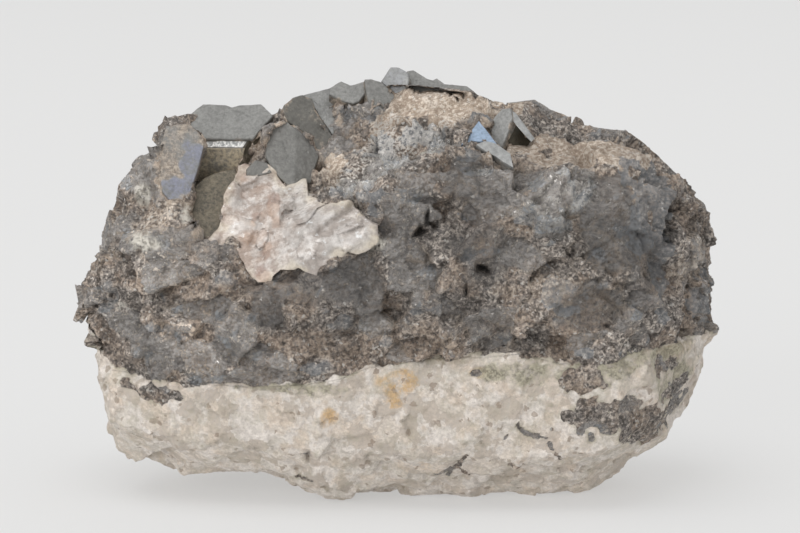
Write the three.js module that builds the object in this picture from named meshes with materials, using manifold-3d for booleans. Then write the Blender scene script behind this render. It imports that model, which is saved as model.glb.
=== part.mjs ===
// A hand specimen of granite with massive grey ore grown on it, as one solid.
// Millimetres, +Z up, +X to the right and -Y towards the viewer. The origin is on the
// surface that the stone stands on, under the middle of its bounding box.
//
// The skin of the stone is a ring of points carried along X. Each ring is a squarish
// oval between four lines (top, bottom, front, back), cut by bevels and fracture
// planes, then raised and lowered by lumps, chips and named hollows. The crystals, the
// feldspar nodule and the pits are flat-faced solids, joined to the skin or cut from it.

import * as THREE from "three";
import { ConvexGeometry } from "three/addons/geometries/ConvexGeometry.js";
import { mergeVertices } from "three/addons/utils/BufferGeometryUtils.js";
import Module from "manifold-3d";

// Driving dimensions

const LEFT = -75;
const RIGHT = 75;
const STATIONS = 55; // rings from the left end to the right end
const RING_POINTS = 70;
const FRONT_CALM = 0.35; // share by which the relief is lower on the broad front face
const STRAY = 0.7; // how far a point strays from its even place, as a share of the gap
const END_FADE = 9; // the relief dies away over this length at each end
const SQUARENESS = 3.6; // exponent of the ring's oval: 2 is an ellipse
const CREST_Y = -4; // where the crest runs, front to back
const [FRONT, BACK] = [-1, 1]; // the way a crystal's face looks along Y
const SOLE_BACK_Y = 22; // where the underside leaves the ground at the back

// Outline of the stone as lines of [x, height or depth]
const TOP_LINE = [
  [-75, 46], [-72.6, 47.5], [-69.8, 51], [-67.6, 56.5], [-64.8, 61.5], [-63.6, 67.5],
  [-62, 71.5], [-58.9, 73.5], [-56.1, 77.5], [-53.7, 82], [-51.9, 84.5], [-46, 85],
  [-30, 84], [-27, 84], [-21, 87], [-14, 89], [-6, 90.5], [0, 93.5], [10.7, 91.5],
  [17.6, 89.5], [20.6, 88], [24.5, 88], [33, 88.5], [36, 87.5], [42, 86.5], [48.7, 85.5],
  [55.6, 84.5], [58.4, 80.5], [61.4, 77], [63.8, 74], [67.5, 72], [71.2, 67],
  [72.6, 61.5], [73.4, 55], [74.2, 49], [75, 44],
];
const BOTTOM_LINE = [
  [-75, 40], [-73, 40], [-71.2, 38.5], [-68.3, 34], [-67.2, 28], [-66.9, 16.5],
  [-65.6, 11.5], [-62.4, 9], [-55.8, 6.8], [-47.8, 4.5], [-39.8, 5], [-30, 4.5],
  [-24.9, 2], [-20.8, 0.5], [-15.7, -0.6], [-10, -0.6], [-2, 0], [10.7, -0.4],
  [17.6, -1], [25.6, -1], [36, 0], [45, 1.5], [50, 3.5], [54.7, 6.5], [59.9, 9],
  [63, 11.5], [64.2, 15.5], [66.9, 19.5], [69.4, 23.5], [70.9, 28], [72, 32], [75, 35],
];
const FRONT_LINE = [
  [-75, -20], [-73, -22], [-67, -25], [-56, -32], [-40, -37], [-10, -39.5], [22, -41],
  [50, -39.5], [57, -35.5], [63, -28], [70, -17], [75, -8],
];
const BACK_LINE = [
  [-75, 10], [-71, 15], [-62, 23], [-45, 33], [-22, 39], [12, 41], [38, 37], [56, 28],
  [68, 15], [75, 7],
];
// Where the underside leaves the ground at the front
const SOLE_LINE = [
  [-75, -3], [-50, -16], [-25, -24], [-12, -24], [0, -15], [45, -15], [75, -3],
];
// Top edge of the steep front face, where the slope up to the crest begins
const LEDGE_LINE = [
  [-65, 62], [-54, 59.5], [-43, 58], [-33, 53], [-29, 53], [-20, 57], [-10.7, 60],
  [-4, 65.5], [-1.8, 69.5], [6, 77], [11.4, 80], [17, 81.5], [21.3, 80], [25, 75],
  [33.5, 73], [41, 74], [45.6, 76], [54.5, 75], [59, 72], [68, 71],
];

// Fracture planes: [direction that the plane faces, distance from CORE]
const CORE = new THREE.Vector3(0, 0, 48);
const FRACTURES = [
  [[0.42, 0.86, 0.28], 47],
  [[-0.5, 0.8, 0.34], 47],
  [[-0.12, 0.94, -0.32], 40.5],
  [[0.66, 0.6, -0.45], 59],
  [[-0.72, 0.52, -0.46], 62],
  [[0.1, 0.62, 0.78], 46],
];

// Lumps and hollows of the front: [x, z, half width, half height, rise]
const SWELLS = [
  [-33, 66, 17, 12, -3.2],
  [-21, 75, 10, 9, -4],
  [-38, 81, 10, 7, -5],
  [15, 70, 12, 10, 1.6],
  [-16, 44, 12, 9, 1.2],
  [-9, 40, 6, 10, -1.0],
  [44, 58, 10, 14, 1.0],
  [26, 64, 8, 10, -0.8],
  [-56, 43, 12, 10, 1.1],
  [34, 44, 12, 7, 0.9],
  [-38, 15, 16, 8, 0.8],
  [12, 17, 18, 9, 0.8],
];

// Crystals seen from the front: {y: depth of the face's middle, lean: how fast the face
// goes back along X and along Z, bevel: width of its edge bevel, deep: thickness,
// face: corners of the flat face as [x, z]}
const CRYSTALS = [
  { y: -5, lean: [0, 1.1], bevel: 1.8, deep: 11,
    face: [[-47, 87], [-44, 88.5], [-30.5, 88.5], [-27.5, 86], [-31.5, 82], [-44.5, 82],
      [-47.5, 84.5]] },
  { y: -23.5, lean: [0, 0.35], bevel: 0.8, deep: 12,
    face: [[-45, 74.5], [-42, 75.5], [-39, 76], [-36, 75], [-36.5, 71.5], [-38, 63.5],
      [-40.5, 61.5], [-43.5, 61], [-45.5, 70]] },
  { y: -21.5, lean: [-0.5, 0.5], bevel: 0.8, deep: 13,
    face: [[-44, 80], [-44, 73.5], [-46, 67.5], [-48.5, 68.5], [-51.5, 72.5], [-48.5, 78]] },
  { y: -10, lean: [-0.3, 0.9], bevel: 1, deep: 14,
    face: [[-54, 80.5], [-52.5, 83], [-50.5, 85], [-48, 85], [-44, 83.5], [-44.5, 79],
      [-49, 77]] },
  { y: -17, lean: [-0.7, 0.7], bevel: 1, deep: 14,
    face: [[-62.5, 72.5], [-57.5, 77], [-55, 80.5], [-51.5, 77.5], [-52.5, 71], [-62, 69]] },
  { y: -14, lean: [0.1, 0.5], bevel: 1.2, deep: 12,
    face: [[-28.5, 84], [-23.5, 86.5], [-19, 84], [-16.5, 77], [-19.5, 73], [-24.5, 71],
      [-28, 75], [-29.5, 80.5]] },
  { y: -6, lean: [0.2, 0.6], bevel: 0.8, deep: 12,
    face: [[-25.5, 87.5], [-21, 91], [-18.5, 90.5], [-14, 87], [-12.5, 83], [-17.5, 82.5]] },
  { y: -1, lean: [0.1, 0.9], bevel: 0.8, deep: 10,
    face: [[-25.5, 89], [-24, 90], [-14, 93], [-11, 91.5], [-13.5, 87], [-20.5, 87]] },
  { y: -2, lean: [0, 1.1], bevel: 0.8, deep: 10,
    face: [[-14.5, 91.5], [-13, 93.5], [-7.5, 93], [-6.5, 90.5], [-11, 89.5]] },
  { y: -4, lean: [0.3, 0.8], bevel: 0.7, deep: 12,
    face: [[-7.5, 93], [-6.5, 94.5], [-3, 94.5], [1, 90.5], [-1, 89], [-4, 88.5], [-7, 90.5]] },
  { y: -2, lean: [-0.1, 0.5], bevel: 0.7, deep: 10,
    face: [[-3, 93.5], [-0.5, 97], [1.5, 97.5], [4, 96], [3.5, 93], [1, 90.5]] },
  { y: 0, lean: [0, 1], bevel: 0.7, deep: 11,
    face: [[3.5, 93], [4.5, 96], [6.5, 96], [10, 94], [17.5, 93], [19.5, 91.5], [14, 90.5],
      [4, 90.5]] },
  { y: -19, lean: [-0.5, 0.6], bevel: 0.4, deep: 9,
    face: [[19.5, 88.5], [23.5, 90.5], [27, 89.5], [27, 87], [26, 83.5], [24, 82]] },
  { y: -19, lean: [0.7, 0.3], bevel: 0.4, deep: 9,
    face: [[27, 87], [31.5, 82.5], [30.5, 80.5], [27.5, 80], [25.5, 81], [25.5, 84]] },
  { y: -22, lean: [0, 1.2], bevel: 0.3, deep: 9,
    face: [[19, 86.5], [23, 82.5], [15.5, 82.5]] },
  { y: -27, lean: [0, 1], bevel: 0.4, deep: 9,
    face: [[18, 82.5], [21.5, 83], [28, 78], [26.5, 77], [19.5, 80.5]] },
];

// Broken corners of the ore, given in the same way as the crystals
const CORNERS = [
  { y: -24.5, lean: [-0.6, 0.1], bevel: 2, deep: 24, rise: 1.2,
    face: [[-72.5, 43.5], [-71.5, 37], [-68, 34], [-60, 33], [-57, 44], [-61, 56], [-67, 54]] },
];

// Lobes of the pale feldspar nodule, given in the same way as the crystals; rise is the
// height of the middle of the face
const NODULE = [
  { y: -29, lean: [0, 0.55], bevel: 2.6, deep: 12, rise: 1.8,
    face: [[-35, 73], [-32, 74], [-29.5, 75], [-26.5, 73], [-25, 68], [-24, 62], [-26, 57],
      [-29, 55], [-33, 59], [-35.5, 62], [-36.5, 69]] },
  { y: -36, lean: [0, 0.3], bevel: 2.6, deep: 12, rise: 1.6,
    face: [[-24, 69], [-19.5, 68.5], [-10.5, 68.5], [-6.5, 66], [-5, 63], [-11, 61.5],
      [-16, 58.5], [-20.5, 58], [-25, 59]] },
  { y: -31, lean: [-0.3, 0.5], bevel: 1, deep: 9,
    face: [[-41.5, 60], [-39, 62], [-34, 64], [-33, 60], [-38, 60]] },
];

// Hollows between the crystals, cut from the skin before the crystals are joined
const RECESSES = [
  { y: -17, lean: [0, 0.9], bevel: 0.5, deep: 8,
    face: [[-43.5, 81], [-32.5, 81], [-34, 77], [-36, 73.5], [-43, 73], [-45, 76]] },
];

// Crystals grown along the back of the crest, which look along +Y
const BACK_CRYSTALS = [
  { y: 8, lean: [0.3, -1.3], bevel: 1.2, deep: 12,
    face: [[-46, 80], [-42.5, 86], [-33, 86.5], [-29.5, 81], [-36, 76.5]] },
  { y: 13, lean: [-0.5, -0.8], bevel: 0.8, deep: 12,
    face: [[-27, 80], [-25, 85], [-19.5, 84.5], [-20.5, 79]] },
  { y: 7, lean: [0.1, -1.6], bevel: 0.8, deep: 12,
    face: [[-22, 86], [-17.5, 90.5], [-10, 89.5], [-7.5, 86], [-14, 83]] },
  { y: 12, lean: [-0.2, -0.9], bevel: 1, deep: 12,
    face: [[-7, 85], [-1, 91], [6.5, 88], [4, 82]] },
  { y: 19, lean: [0.4, -1.1], bevel: 0.6, deep: 12,
    face: [[11, 81], [16, 86.5], [21, 84], [19.5, 79], [14, 78.5]] },
  { y: 5, lean: [0.6, -0.8], bevel: 0.8, deep: 12,
    face: [[-58, 74], [-54.5, 79.5], [-48, 79], [-50, 72.5]] },
];

// Pits: {at: middle of the mouth, mouth: half sizes, deep: depth, turn: degrees about Y}
const PITS = [
  { at: [6.6, -42.5, 64.2], mouth: [1.8, 1.9], deep: 6, turn: 0 },
  { at: [7.2, -42.5, 67.6], mouth: [0.8, 2.6], deep: 4, turn: 12 },
  { at: [62.4, -29.5, 62.5], mouth: [1.2, 3.4], deep: 5, turn: -6 },
  { at: [63.8, -29, 66.8], mouth: [1.5, 1.5], deep: 5, turn: 20 },
  { at: [-17.4, -18, 77], mouth: [1.1, 1.3], deep: 5, turn: 0 },
  { at: [-3.8, -18, 81], mouth: [1.2, 3.2], deep: 5, turn: 28 },
  { at: [25, -24, 82], mouth: [0.9, 1.2], deep: 4, turn: 10 },
  { at: [20, -43, 55.6], mouth: [1.4, 1.2], deep: 3.5, turn: 0 },
];
const PIT_CLEAR = 2.5; // how far in front of its middle a pit's cutter begins
const FLARE = 1.7; // how much wider the cutter is there than the pit's mouth

// The random relief: [size of a lump, its height, seed]
const LUMPS = [
  [23, 1.7, 11],
  [10, 0.5, 12],
];
// [size of a chip, the slope of its face, seed]
const CHIPS = [
  [19, 0.24, 21],
  [10, 0.22, 22],
];
const CHIP_EDGE = 26; // how sharply one chip's face gives way to the next

// Small helpers

/** Height of a line of [x, value] points at x. */
function along(line, x) {
  if (x <= line[0][0]) return line[0][1];
  for (let i = 1; i < line.length; i += 1) {
    const [x0, v0] = line[i - 1];
    const [x1, v1] = line[i];
    if (x <= x1) return v0 + ((v1 - v0) * (x - x0)) / (x1 - x0);
  }
  return line[line.length - 1][1];
}

/** A repeatable number from 0 to 1 for a cell of the lattice. */
function hash(i, j, k, seed) {
  let h = Math.imul(i, 374761393) + Math.imul(j, 668265263);
  h = (h + Math.imul(k, 2147483629) + Math.imul(seed, 144665)) | 0;
  h = Math.imul(h ^ (h >>> 13), 1274126177);
  h = Math.imul(h ^ (h >>> 16), 1103515245);
  return ((h ^ (h >>> 15)) >>> 0) / 4294967296;
}

/** Smooth random value from -1 to 1, with hills about one cell across. */
function lumps(p, cell, seed) {
  const at = [p.x / cell, p.y / cell, p.z / cell];
  const base = at.map(Math.floor);
  const ease = at.map((a, n) => a - base[n]).map((f) => f * f * (3 - 2 * f));
  let sum = 0;
  for (let corner = 0; corner < 8; corner += 1) {
    const step = [corner & 1, (corner >> 1) & 1, corner >> 2];
    const weight = step.reduce((w, s, n) => w * (s ? ease[n] : 1 - ease[n]), 1);
    sum += weight * hash(base[0] + step[0], base[1] + step[1], base[2] + step[2], seed);
  }
  return 2 * sum - 1;
}

/** Height of tilted flat faces, one round each random point, that meet in soft edges. */
function chips(p, cell, slope, seed) {
  const base = [p.x, p.y, p.z].map((v) => Math.floor(v / cell));
  const faces = [];
  for (let n = 0; n < 27; n += 1) {
    const i = base[0] + (n % 3) - 1;
    const j = base[1] + (Math.floor(n / 3) % 3) - 1;
    const k = base[2] + Math.floor(n / 9) - 1;
    const dx = p.x / cell - i - hash(i, j, k, seed);
    const dy = p.y / cell - j - hash(i, j, k, seed + 1);
    const dz = p.z / cell - k - hash(i, j, k, seed + 2);
    const tilt = [3, 4, 5].map((s) => hash(i, j, k, seed + s) * 2 - 1);
    faces.push({
      far: dx * dx + dy * dy + dz * dz,
      height: slope * cell * (tilt[0] * dx + tilt[1] * dy + tilt[2] * dz),
    });
  }
  const nearest = Math.min(...faces.map((face) => face.far));
  let [sum, weights] = [0, 0];
  for (const { far, height } of faces) {
    const weight = Math.exp(-CHIP_EDGE * (far - nearest));
    sum += weight * height;
    weights += weight;
  }
  return sum / weights;
}

// The skin

/** X of each ring, closer together where the outline is steep. */
function stationPlaces() {
  const fine = 600;
  const lengths = [0];
  for (let i = 1; i <= fine; i += 1) {
    const x0 = LEFT + ((RIGHT - LEFT) * (i - 1)) / fine;
    const x1 = LEFT + ((RIGHT - LEFT) * i) / fine;
    const steps = [TOP_LINE, BOTTOM_LINE, FRONT_LINE, BACK_LINE].map((line) =>
      Math.hypot(x1 - x0, 0.5 * (along(line, x1) - along(line, x0))));
    lengths.push(lengths[i - 1] + Math.max(...steps));
  }
  const places = [];
  for (let s = 1; s < STATIONS; s += 1) {
    const want = (lengths[fine] * s) / STATIONS;
    const i = lengths.findIndex((length) => length >= want);
    const share = (want - lengths[i - 1]) / (lengths[i] - lengths[i - 1]);
    places.push(LEFT + ((RIGHT - LEFT) * (i - 1 + share)) / fine);
  }
  return places;
}

/** Moves a ring's point in towards the ring's middle until it is behind the line a-b. */
function trim(p, middle, a, b) {
  const across = [-(b[1] - a[1]), b[0] - a[0]];
  const limit = across[0] * (a[0] - middle[0]) + across[1] * (a[1] - middle[1]);
  const reach = across[0] * (p[0] - middle[0]) + across[1] * (p[1] - middle[1]);
  if (limit * reach <= 0 || Math.abs(reach) <= Math.abs(limit)) return p;
  const keep = limit / reach;
  return [middle[0] + (p[0] - middle[0]) * keep, middle[1] + (p[1] - middle[1]) * keep];
}

/** A point of the ring at x, at an angle that starts at the front and turns up. */
function ringPoint(x, angle) {
  const top = along(TOP_LINE, x);
  const bottom = along(BOTTOM_LINE, x);
  const front = along(FRONT_LINE, x);
  const back = along(BACK_LINE, x);
  const middle = [(front + back) / 2, (top + bottom) / 2];
  const half = [(back - front) / 2, (top - bottom) / 2];
  const [c, s] = [Math.cos(angle), Math.sin(angle)];
  const reach = (Math.abs(c) ** SQUARENESS + Math.abs(s) ** SQUARENESS) ** (-1 / SQUARENESS);
  let p = [middle[0] - half[0] * reach * c, middle[1] + half[1] * reach * s];
  const crest = [middle[0] + CREST_Y * Math.min(1, half[0] / 30), top + 0.2];
  const ledge = Math.min(along(LEDGE_LINE, x), top);
  p = trim(p, middle, [front, ledge], crest);
  p = trim(p, middle, crest, [back, middle[1] + 0.3 * half[1]]);
  const sole = Math.min(1, half[0] / 36);
  p = trim(p, middle, [along(SOLE_LINE, x), bottom], [front, bottom + 0.34 * half[1]]);
  p = trim(p, middle, [back, bottom + 0.5 * half[1]], [SOLE_BACK_Y * sole, bottom]);
  return new THREE.Vector3(x, p[0], p[1]);
}

/** Moves a point in towards the core until it is behind every fracture plane. */
function fracture(p) {
  for (const [facing, distance] of FRACTURES) {
    const normal = new THREE.Vector3(...facing).normalize();
    const reach = normal.dot(p.clone().sub(CORE));
    if (reach > distance) p.sub(CORE).multiplyScalar(distance / reach).add(CORE);
  }
  return p;
}

/** Rise of the named lumps and hollows at a point of the front. */
function swells(p, facing) {
  const front = Math.max(0, -facing.y);
  let rise = 0;
  for (const [x, z, wide, high, height] of SWELLS) {
    const far = ((p.x - x) / wide) ** 2 + ((p.z - z) / high) ** 2;
    if (far < 1) rise += height * (1 - far) ** 2 * front;
  }
  return rise;
}

/** The whole relief at a point of the smooth skin, along its facing direction. */
function relief(p, facing) {
  let rise = swells(p, facing);
  for (const [cell, height, seed] of LUMPS) rise += height * lumps(p, cell, seed);
  for (const [cell, slope, seed] of CHIPS) rise += chips(p, cell, slope, seed);
  const fromEnd = Math.min(p.x - LEFT, RIGHT - p.x);
  const calm = 1 - FRONT_CALM * Math.max(0, -facing.y);
  return rise * calm * Math.min(1, fromEnd / END_FADE);
}

/** The closed skin: rings of points, with one point at each end. */
function skinGeometry() {
  const places = stationPlaces();
  const rings = places.map((x, r) => {
    const gap = Math.min(x - (places[r - 1] ?? x), (places[r + 1] ?? x) - x);
    return Array.from({ length: RING_POINTS }, (unused, n) => {
      const [sideways, round] = [31, 32].map((seed) => STRAY * (hash(r, n, 0, seed) - 0.5));
      const angle = (2 * Math.PI * (n + round)) / RING_POINTS;
      return fracture(ringPoint(x + sideways * gap, angle));
    });
  });
  const ends = [LEFT, RIGHT].map((x) => new THREE.Vector3(
    x, (along(FRONT_LINE, x) + along(BACK_LINE, x)) / 2, (along(TOP_LINE, x) + along(BOTTOM_LINE, x)) / 2));
  const points = [];
  rings.forEach((ring, r) => {
    ring.forEach((p, n) => {
      const before = rings[r - 1]?.[n] ?? ends[0];
      const after = rings[r + 1]?.[n] ?? ends[1];
      const alongX = after.clone().sub(before);
      const round = ring[(n + 1) % RING_POINTS].clone();
      round.sub(ring[(n + RING_POINTS - 1) % RING_POINTS]);
      const facing = alongX.cross(round).normalize();
      points.push(p.clone().addScaledVector(facing, relief(p, facing)));
    });
  });
  points.push(...ends);
  const [left, right] = [points.length - 2, points.length - 1];
  const faces = [];
  for (let n = 0; n < RING_POINTS; n += 1) {
    const next = (n + 1) % RING_POINTS;
    faces.push(left, n, next);
    const last = (rings.length - 1) * RING_POINTS;
    faces.push(right, last + next, last + n);
    for (let r = 0; r < rings.length - 1; r += 1) {
      const [a, b] = [r * RING_POINTS + n, r * RING_POINTS + next];
      const [c, d] = [a + RING_POINTS, b + RING_POINTS];
      const falling = points[a].distanceTo(points[d]) < points[b].distanceTo(points[c]);
      faces.push(...(falling ? [a, d, b, a, c, d] : [a, c, b, b, c, d]));
    }
  }
  const geometry = new THREE.BufferGeometry();
  geometry.setAttribute("position",
    new THREE.Float32BufferAttribute(points.flatMap((p) => p.toArray()), 3));
  geometry.setIndex(faces);
  return geometry;
}

// Joining and cutting

const wasm = await Module();
wasm.setup();

/** A closed geometry as a solid that can be joined and cut. */
function solidOf(geometry) {
  const bare = geometry.clone();
  bare.deleteAttribute("normal");
  bare.deleteAttribute("uv");
  const merged = mergeVertices(bare, 1e-4);
  return new wasm.Manifold(new wasm.Mesh({
    numProp: 3,
    vertProperties: new Float32Array(merged.attributes.position.array),
    triVerts: new Uint32Array(merged.index.array),
  }));
}

/** A solid back as geometry, flat-shaded. */
function geometryOf(solid) {
  const mesh = solid.getMesh();
  const geometry = new THREE.BufferGeometry();
  geometry.setAttribute("position", new THREE.Float32BufferAttribute(mesh.vertProperties, 3));
  geometry.setIndex([...mesh.triVerts]);
  geometry.computeVertexNormals();
  return geometry;
}

/** The ground as a block, so that cutting it away leaves the flat spot to stand on. */
function ground() {
  const block = new THREE.BoxGeometry(400, 400, 40);
  block.translate(0, 0, -20);
  return block;
}

/** A flat-faced crystal from the corners of its face: bevelled edge, then sides. */
function slab({ y, lean, bevel, deep, rise = 0, face }, looks = FRONT) {
  const middle = [0, 1].map((n) => face.reduce((sum, corner) => sum + corner[n], 0) / face.length);
  const facing = new THREE.Vector3(-looks * lean[0], looks, -looks * lean[1]).normalize();
  const centre = new THREE.Vector3(middle[0], y, middle[1]);
  const corners = [centre.clone().addScaledVector(facing, rise)];
  for (const [x, z] of face) {
    const depth = y + lean[0] * (x - middle[0]) + lean[1] * (z - middle[1]);
    const corner = new THREE.Vector3(x, depth, z);
    const outward = corner.clone().sub(centre).normalize();
    const side = corner.clone().addScaledVector(outward, bevel).addScaledVector(facing, -bevel);
    corners.push(corner, side, side.clone().addScaledVector(facing, -deep));
  }
  return new ConvexGeometry(corners);
}

/** A tapering hole as a solid: a four-cornered mouth in front of the stone and a point. */
function pit({ at, mouth, deep, turn }) {
  const corners = [[-1, -0.4], [0.3, -1], [1, 0.3], [-0.2, 1]].map(([across, up]) =>
    new THREE.Vector3(across * mouth[0] * FLARE, -PIT_CLEAR, up * mouth[1] * FLARE));
  const tip = new THREE.Vector3(0.3 * mouth[0], deep, -0.2 * mouth[1]);
  const placing = new THREE.Matrix4().makeRotationY(THREE.MathUtils.degToRad(turn));
  return new ConvexGeometry([...corners, tip]).applyMatrix4(placing.setPosition(...at));
}

let stone = solidOf(skinGeometry());
for (const hollow of RECESSES) stone = stone.subtract(solidOf(slab(hollow)));
for (const shape of [...CRYSTALS, ...CORNERS, ...NODULE]) stone = stone.add(solidOf(slab(shape)));
for (const shape of BACK_CRYSTALS) stone = stone.add(solidOf(slab(shape, BACK)));
for (const hole of PITS) stone = stone.subtract(solidOf(pit(hole)));
stone = stone.subtract(solidOf(ground()));
// Gaps closed in between the crystals are filled: only the outer surface is kept
stone = stone.decompose().reduce((a, b) => (a.volume() > b.volume() ? a : b));

const granite = new THREE.MeshStandardMaterial({
  color: 0x8a817a,
  roughness: 0.85,
  metalness: 0,
  flatShading: true,
});
const rock = new THREE.Mesh(geometryOf(stone), granite);
rock.name = "rock";

const specimen = new THREE.Group();
specimen.add(rock);

export default specimen;
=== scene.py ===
"""A hand specimen: pale granite under grey ore, with bright crystals and a feldspar nodule.

Shapes are worked out in millimetres in the part's frame, with +X to the right, +Z up and
-Y towards the viewer, and turned into metres by MM when a mesh is made.

The skin of the stone is one function of two parameters: the place along X and the angle
round a ring. The ore and the granite are two stretches of that skin, which meet along the
contact line. The crystals and the nodule are grids too: round the outline of a flat face,
and from the middle of the face out over its edge and back into the stone.
"""

import math

import bpy
import numpy as np
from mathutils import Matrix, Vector


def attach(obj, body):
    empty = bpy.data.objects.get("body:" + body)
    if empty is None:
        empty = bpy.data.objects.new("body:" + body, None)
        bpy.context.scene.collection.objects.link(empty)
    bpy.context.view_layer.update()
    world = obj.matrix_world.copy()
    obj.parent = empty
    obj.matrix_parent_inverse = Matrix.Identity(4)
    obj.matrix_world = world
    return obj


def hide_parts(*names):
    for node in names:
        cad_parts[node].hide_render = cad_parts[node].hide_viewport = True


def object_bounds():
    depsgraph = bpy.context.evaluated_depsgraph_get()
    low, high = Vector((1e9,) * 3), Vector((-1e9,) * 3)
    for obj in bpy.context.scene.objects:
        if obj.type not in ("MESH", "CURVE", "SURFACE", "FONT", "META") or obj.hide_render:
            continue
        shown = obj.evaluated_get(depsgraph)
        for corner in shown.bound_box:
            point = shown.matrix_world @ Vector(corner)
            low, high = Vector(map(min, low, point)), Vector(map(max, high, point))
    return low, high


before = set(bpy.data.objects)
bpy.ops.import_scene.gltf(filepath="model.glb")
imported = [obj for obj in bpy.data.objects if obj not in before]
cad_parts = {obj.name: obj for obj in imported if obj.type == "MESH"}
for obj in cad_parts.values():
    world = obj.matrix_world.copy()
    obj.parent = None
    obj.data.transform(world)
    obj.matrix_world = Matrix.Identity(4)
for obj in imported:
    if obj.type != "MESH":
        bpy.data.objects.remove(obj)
cad_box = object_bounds()

MM = 0.001
CAD_LOW, CAD_HIGH = (np.array(corner) / MM for corner in cad_box)
CAMERA_DROP = math.radians(8)  # the angle by which the camera looks down

# Driving dimensions of the skin

LEFT, RIGHT = -75.0, 75.0
SQUARENESS = 3.6  # exponent of the ring's oval: 2 is an ellipse
CREST_Y = -4.0  # where the crest runs, front to back
SOLE_BACK_Y = 22.0  # where the underside leaves the ground at the back
FRONT_CALM = 0.35  # share by which the large relief is lower on the broad front face
END_FADE = 9.0  # the large relief dies away over this length at each end
FRONT, BACK = -1, 1  # the way a crystal's face looks along Y

TOP_LINE = [
    [-75, 46], [-72.6, 47.5], [-69.8, 51], [-67.6, 56.5], [-64.8, 61.5], [-63.6, 67.5],
    [-62, 71.5], [-58.9, 73.5], [-56.1, 77.5], [-53.7, 82], [-51.9, 84.5], [-46, 85],
    [-31, 85], [-27, 87], [-21, 87], [-14, 89], [-6, 90.5], [0, 93.5], [10.7, 91.5],
    [17.6, 89.5], [20.6, 89], [24.5, 89.5], [33, 90.5], [36, 88.5], [42, 86.5], [48.7, 85.5],
    [55.6, 84.5], [58.4, 80.5], [61.4, 77], [63.8, 74], [67.5, 72], [71.2, 67],
    [72.6, 61.5], [73.4, 55], [74.2, 49], [75, 44],
]
BOTTOM_LINE = [
    [-75, 40], [-73, 40], [-71.2, 38.5], [-68.3, 34], [-67.2, 28], [-66.9, 16.5],
    [-65.6, 11.5], [-62.4, 9], [-55.8, 6.8], [-47.8, 4.5], [-39.8, 5], [-30, 4.5],
    [-24.9, 2], [-20.8, 0.5], [-15.7, -0.6], [-10, -0.6], [-2, 0], [10.7, -0.4],
    [17.6, -1], [25.6, -1], [36, 0], [45, 1.5], [50, 3.5], [54.7, 6.5], [59.9, 9],
    [63, 11.5], [64.2, 15.5], [66.9, 19.5], [69.4, 23.5], [70.9, 28], [72, 32], [75, 35],
]
FRONT_LINE = [
    [-75, -20], [-73, -22], [-67, -25], [-56, -32], [-40, -37], [-10, -39.5], [22, -41],
    [50, -39.5], [57, -35.5], [63, -28], [70, -17], [75, -8],
]
BACK_LINE = [
    [-75, 10], [-71, 15], [-62, 23], [-45, 33], [-22, 39], [12, 41], [38, 37], [56, 28],
    [68, 15], [75, 7],
]
SOLE_LINE = [[-75, -3], [-50, -16], [-25, -24], [-12, -24], [0, -15], [45, -15], [75, -3]]
LEDGE_LINE = [
    [-65, 62], [-54, 59.5], [-43, 58], [-33, 53], [-29, 53], [-20, 57], [-10.7, 60],
    [-4, 65.5], [-1.8, 69.5], [6, 77], [11.4, 80], [17, 81.5], [21.3, 80], [25, 75],
    [33.5, 73], [41, 74], [45.6, 76], [54.5, 75], [59, 72], [68, 71],
]
# Height of the line between granite and ore, at the front and at the back
FRONT_CONTACT = [
    [-75, 40], [-70.8, 39.2], [-69.2, 37.1], [-67.5, 34.5], [-64, 30.7], [-54.6, 29.9],
    [-43.1, 29.4], [-31.9, 28.6], [-20.7, 29.5], [-11.8, 31], [-5.1, 33.7], [5.9, 35.1],
    [19.2, 35.9], [28, 36.8], [36.9, 34.5], [45.8, 34.3], [55, 36.5], [64.9, 37.2],
    [71.3, 37.2], [75, 37],
]
BACK_CONTACT = [
    [-75, 40], [-68, 36], [-50, 31], [-30, 35], [-8, 39], [15, 33], [40, 36], [60, 39],
    [75, 37],
]

CORE = np.array([0.0, 0.0, 48.0])
# Fracture planes: [direction that the plane faces, distance from CORE]
FRACTURES = [
    [[0.42, 0.86, 0.28], 47], [[-0.5, 0.8, 0.34], 47], [[-0.12, 0.94, -0.32], 40.5],
    [[0.66, 0.6, -0.45], 59], [[-0.72, 0.52, -0.46], 62], [[0.1, 0.62, 0.78], 46],
]
# Lumps and hollows of the front: [x, z, half width, half height, rise]
SWELLS = [
    [-33, 66, 17, 12, -3.2], [-21, 75, 10, 9, -4], [-38, 81, 10, 7, -5],
    [15, 70, 12, 10, 1.6], [-16, 44, 12, 9, 1.2], [-9, 40, 6, 10, -1.0],
    [44, 58, 10, 14, 1.0], [26, 64, 8, 10, -0.8], [-56, 43, 12, 10, 1.1],
    [34, 44, 12, 7, 0.9], [-38, 15, 16, 8, 0.8], [12, 17, 18, 9, 0.8],
]
# Large relief: [size of a lump, its height, seed] and [size of a chip, its slope, seed]
LUMPS = [[23, 1.7, 11], [10, 0.4, 12]]
CHIPS = [[19, 0.24, 21], [10, 0.22, 22]]
CHIP_EDGE = 45.0  # how sharply one chip's face gives way to the next
# Fine relief of the ore and of the granite. A chip here also has a step: how far its face
# may stand out from or behind its neighbours
ORE_PLATES = {"cell": 8.0, "slope": 0.4, "step": 0.7, "seed": 51}
ORE_CHIPS = {"cell": 3.1, "slope": 0.4, "step": 0.35, "seed": 61}
ORE_GRIT = {"cell": 1.2, "slope": 0.45, "step": 0.14, "seed": 71}
GRANITE_CHIPS = {"cell": 3.6, "slope": 0.16, "step": 0.2, "seed": 81}
GRANITE_LUMPS = [[7, 0.25, 62], [1.7, 0.14, 63], [0.9, 0.1, 64]]
GRANITE_CALM = 0.5  # share of the large relief that the granite keeps
FINE_EDGE = 80.0

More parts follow.
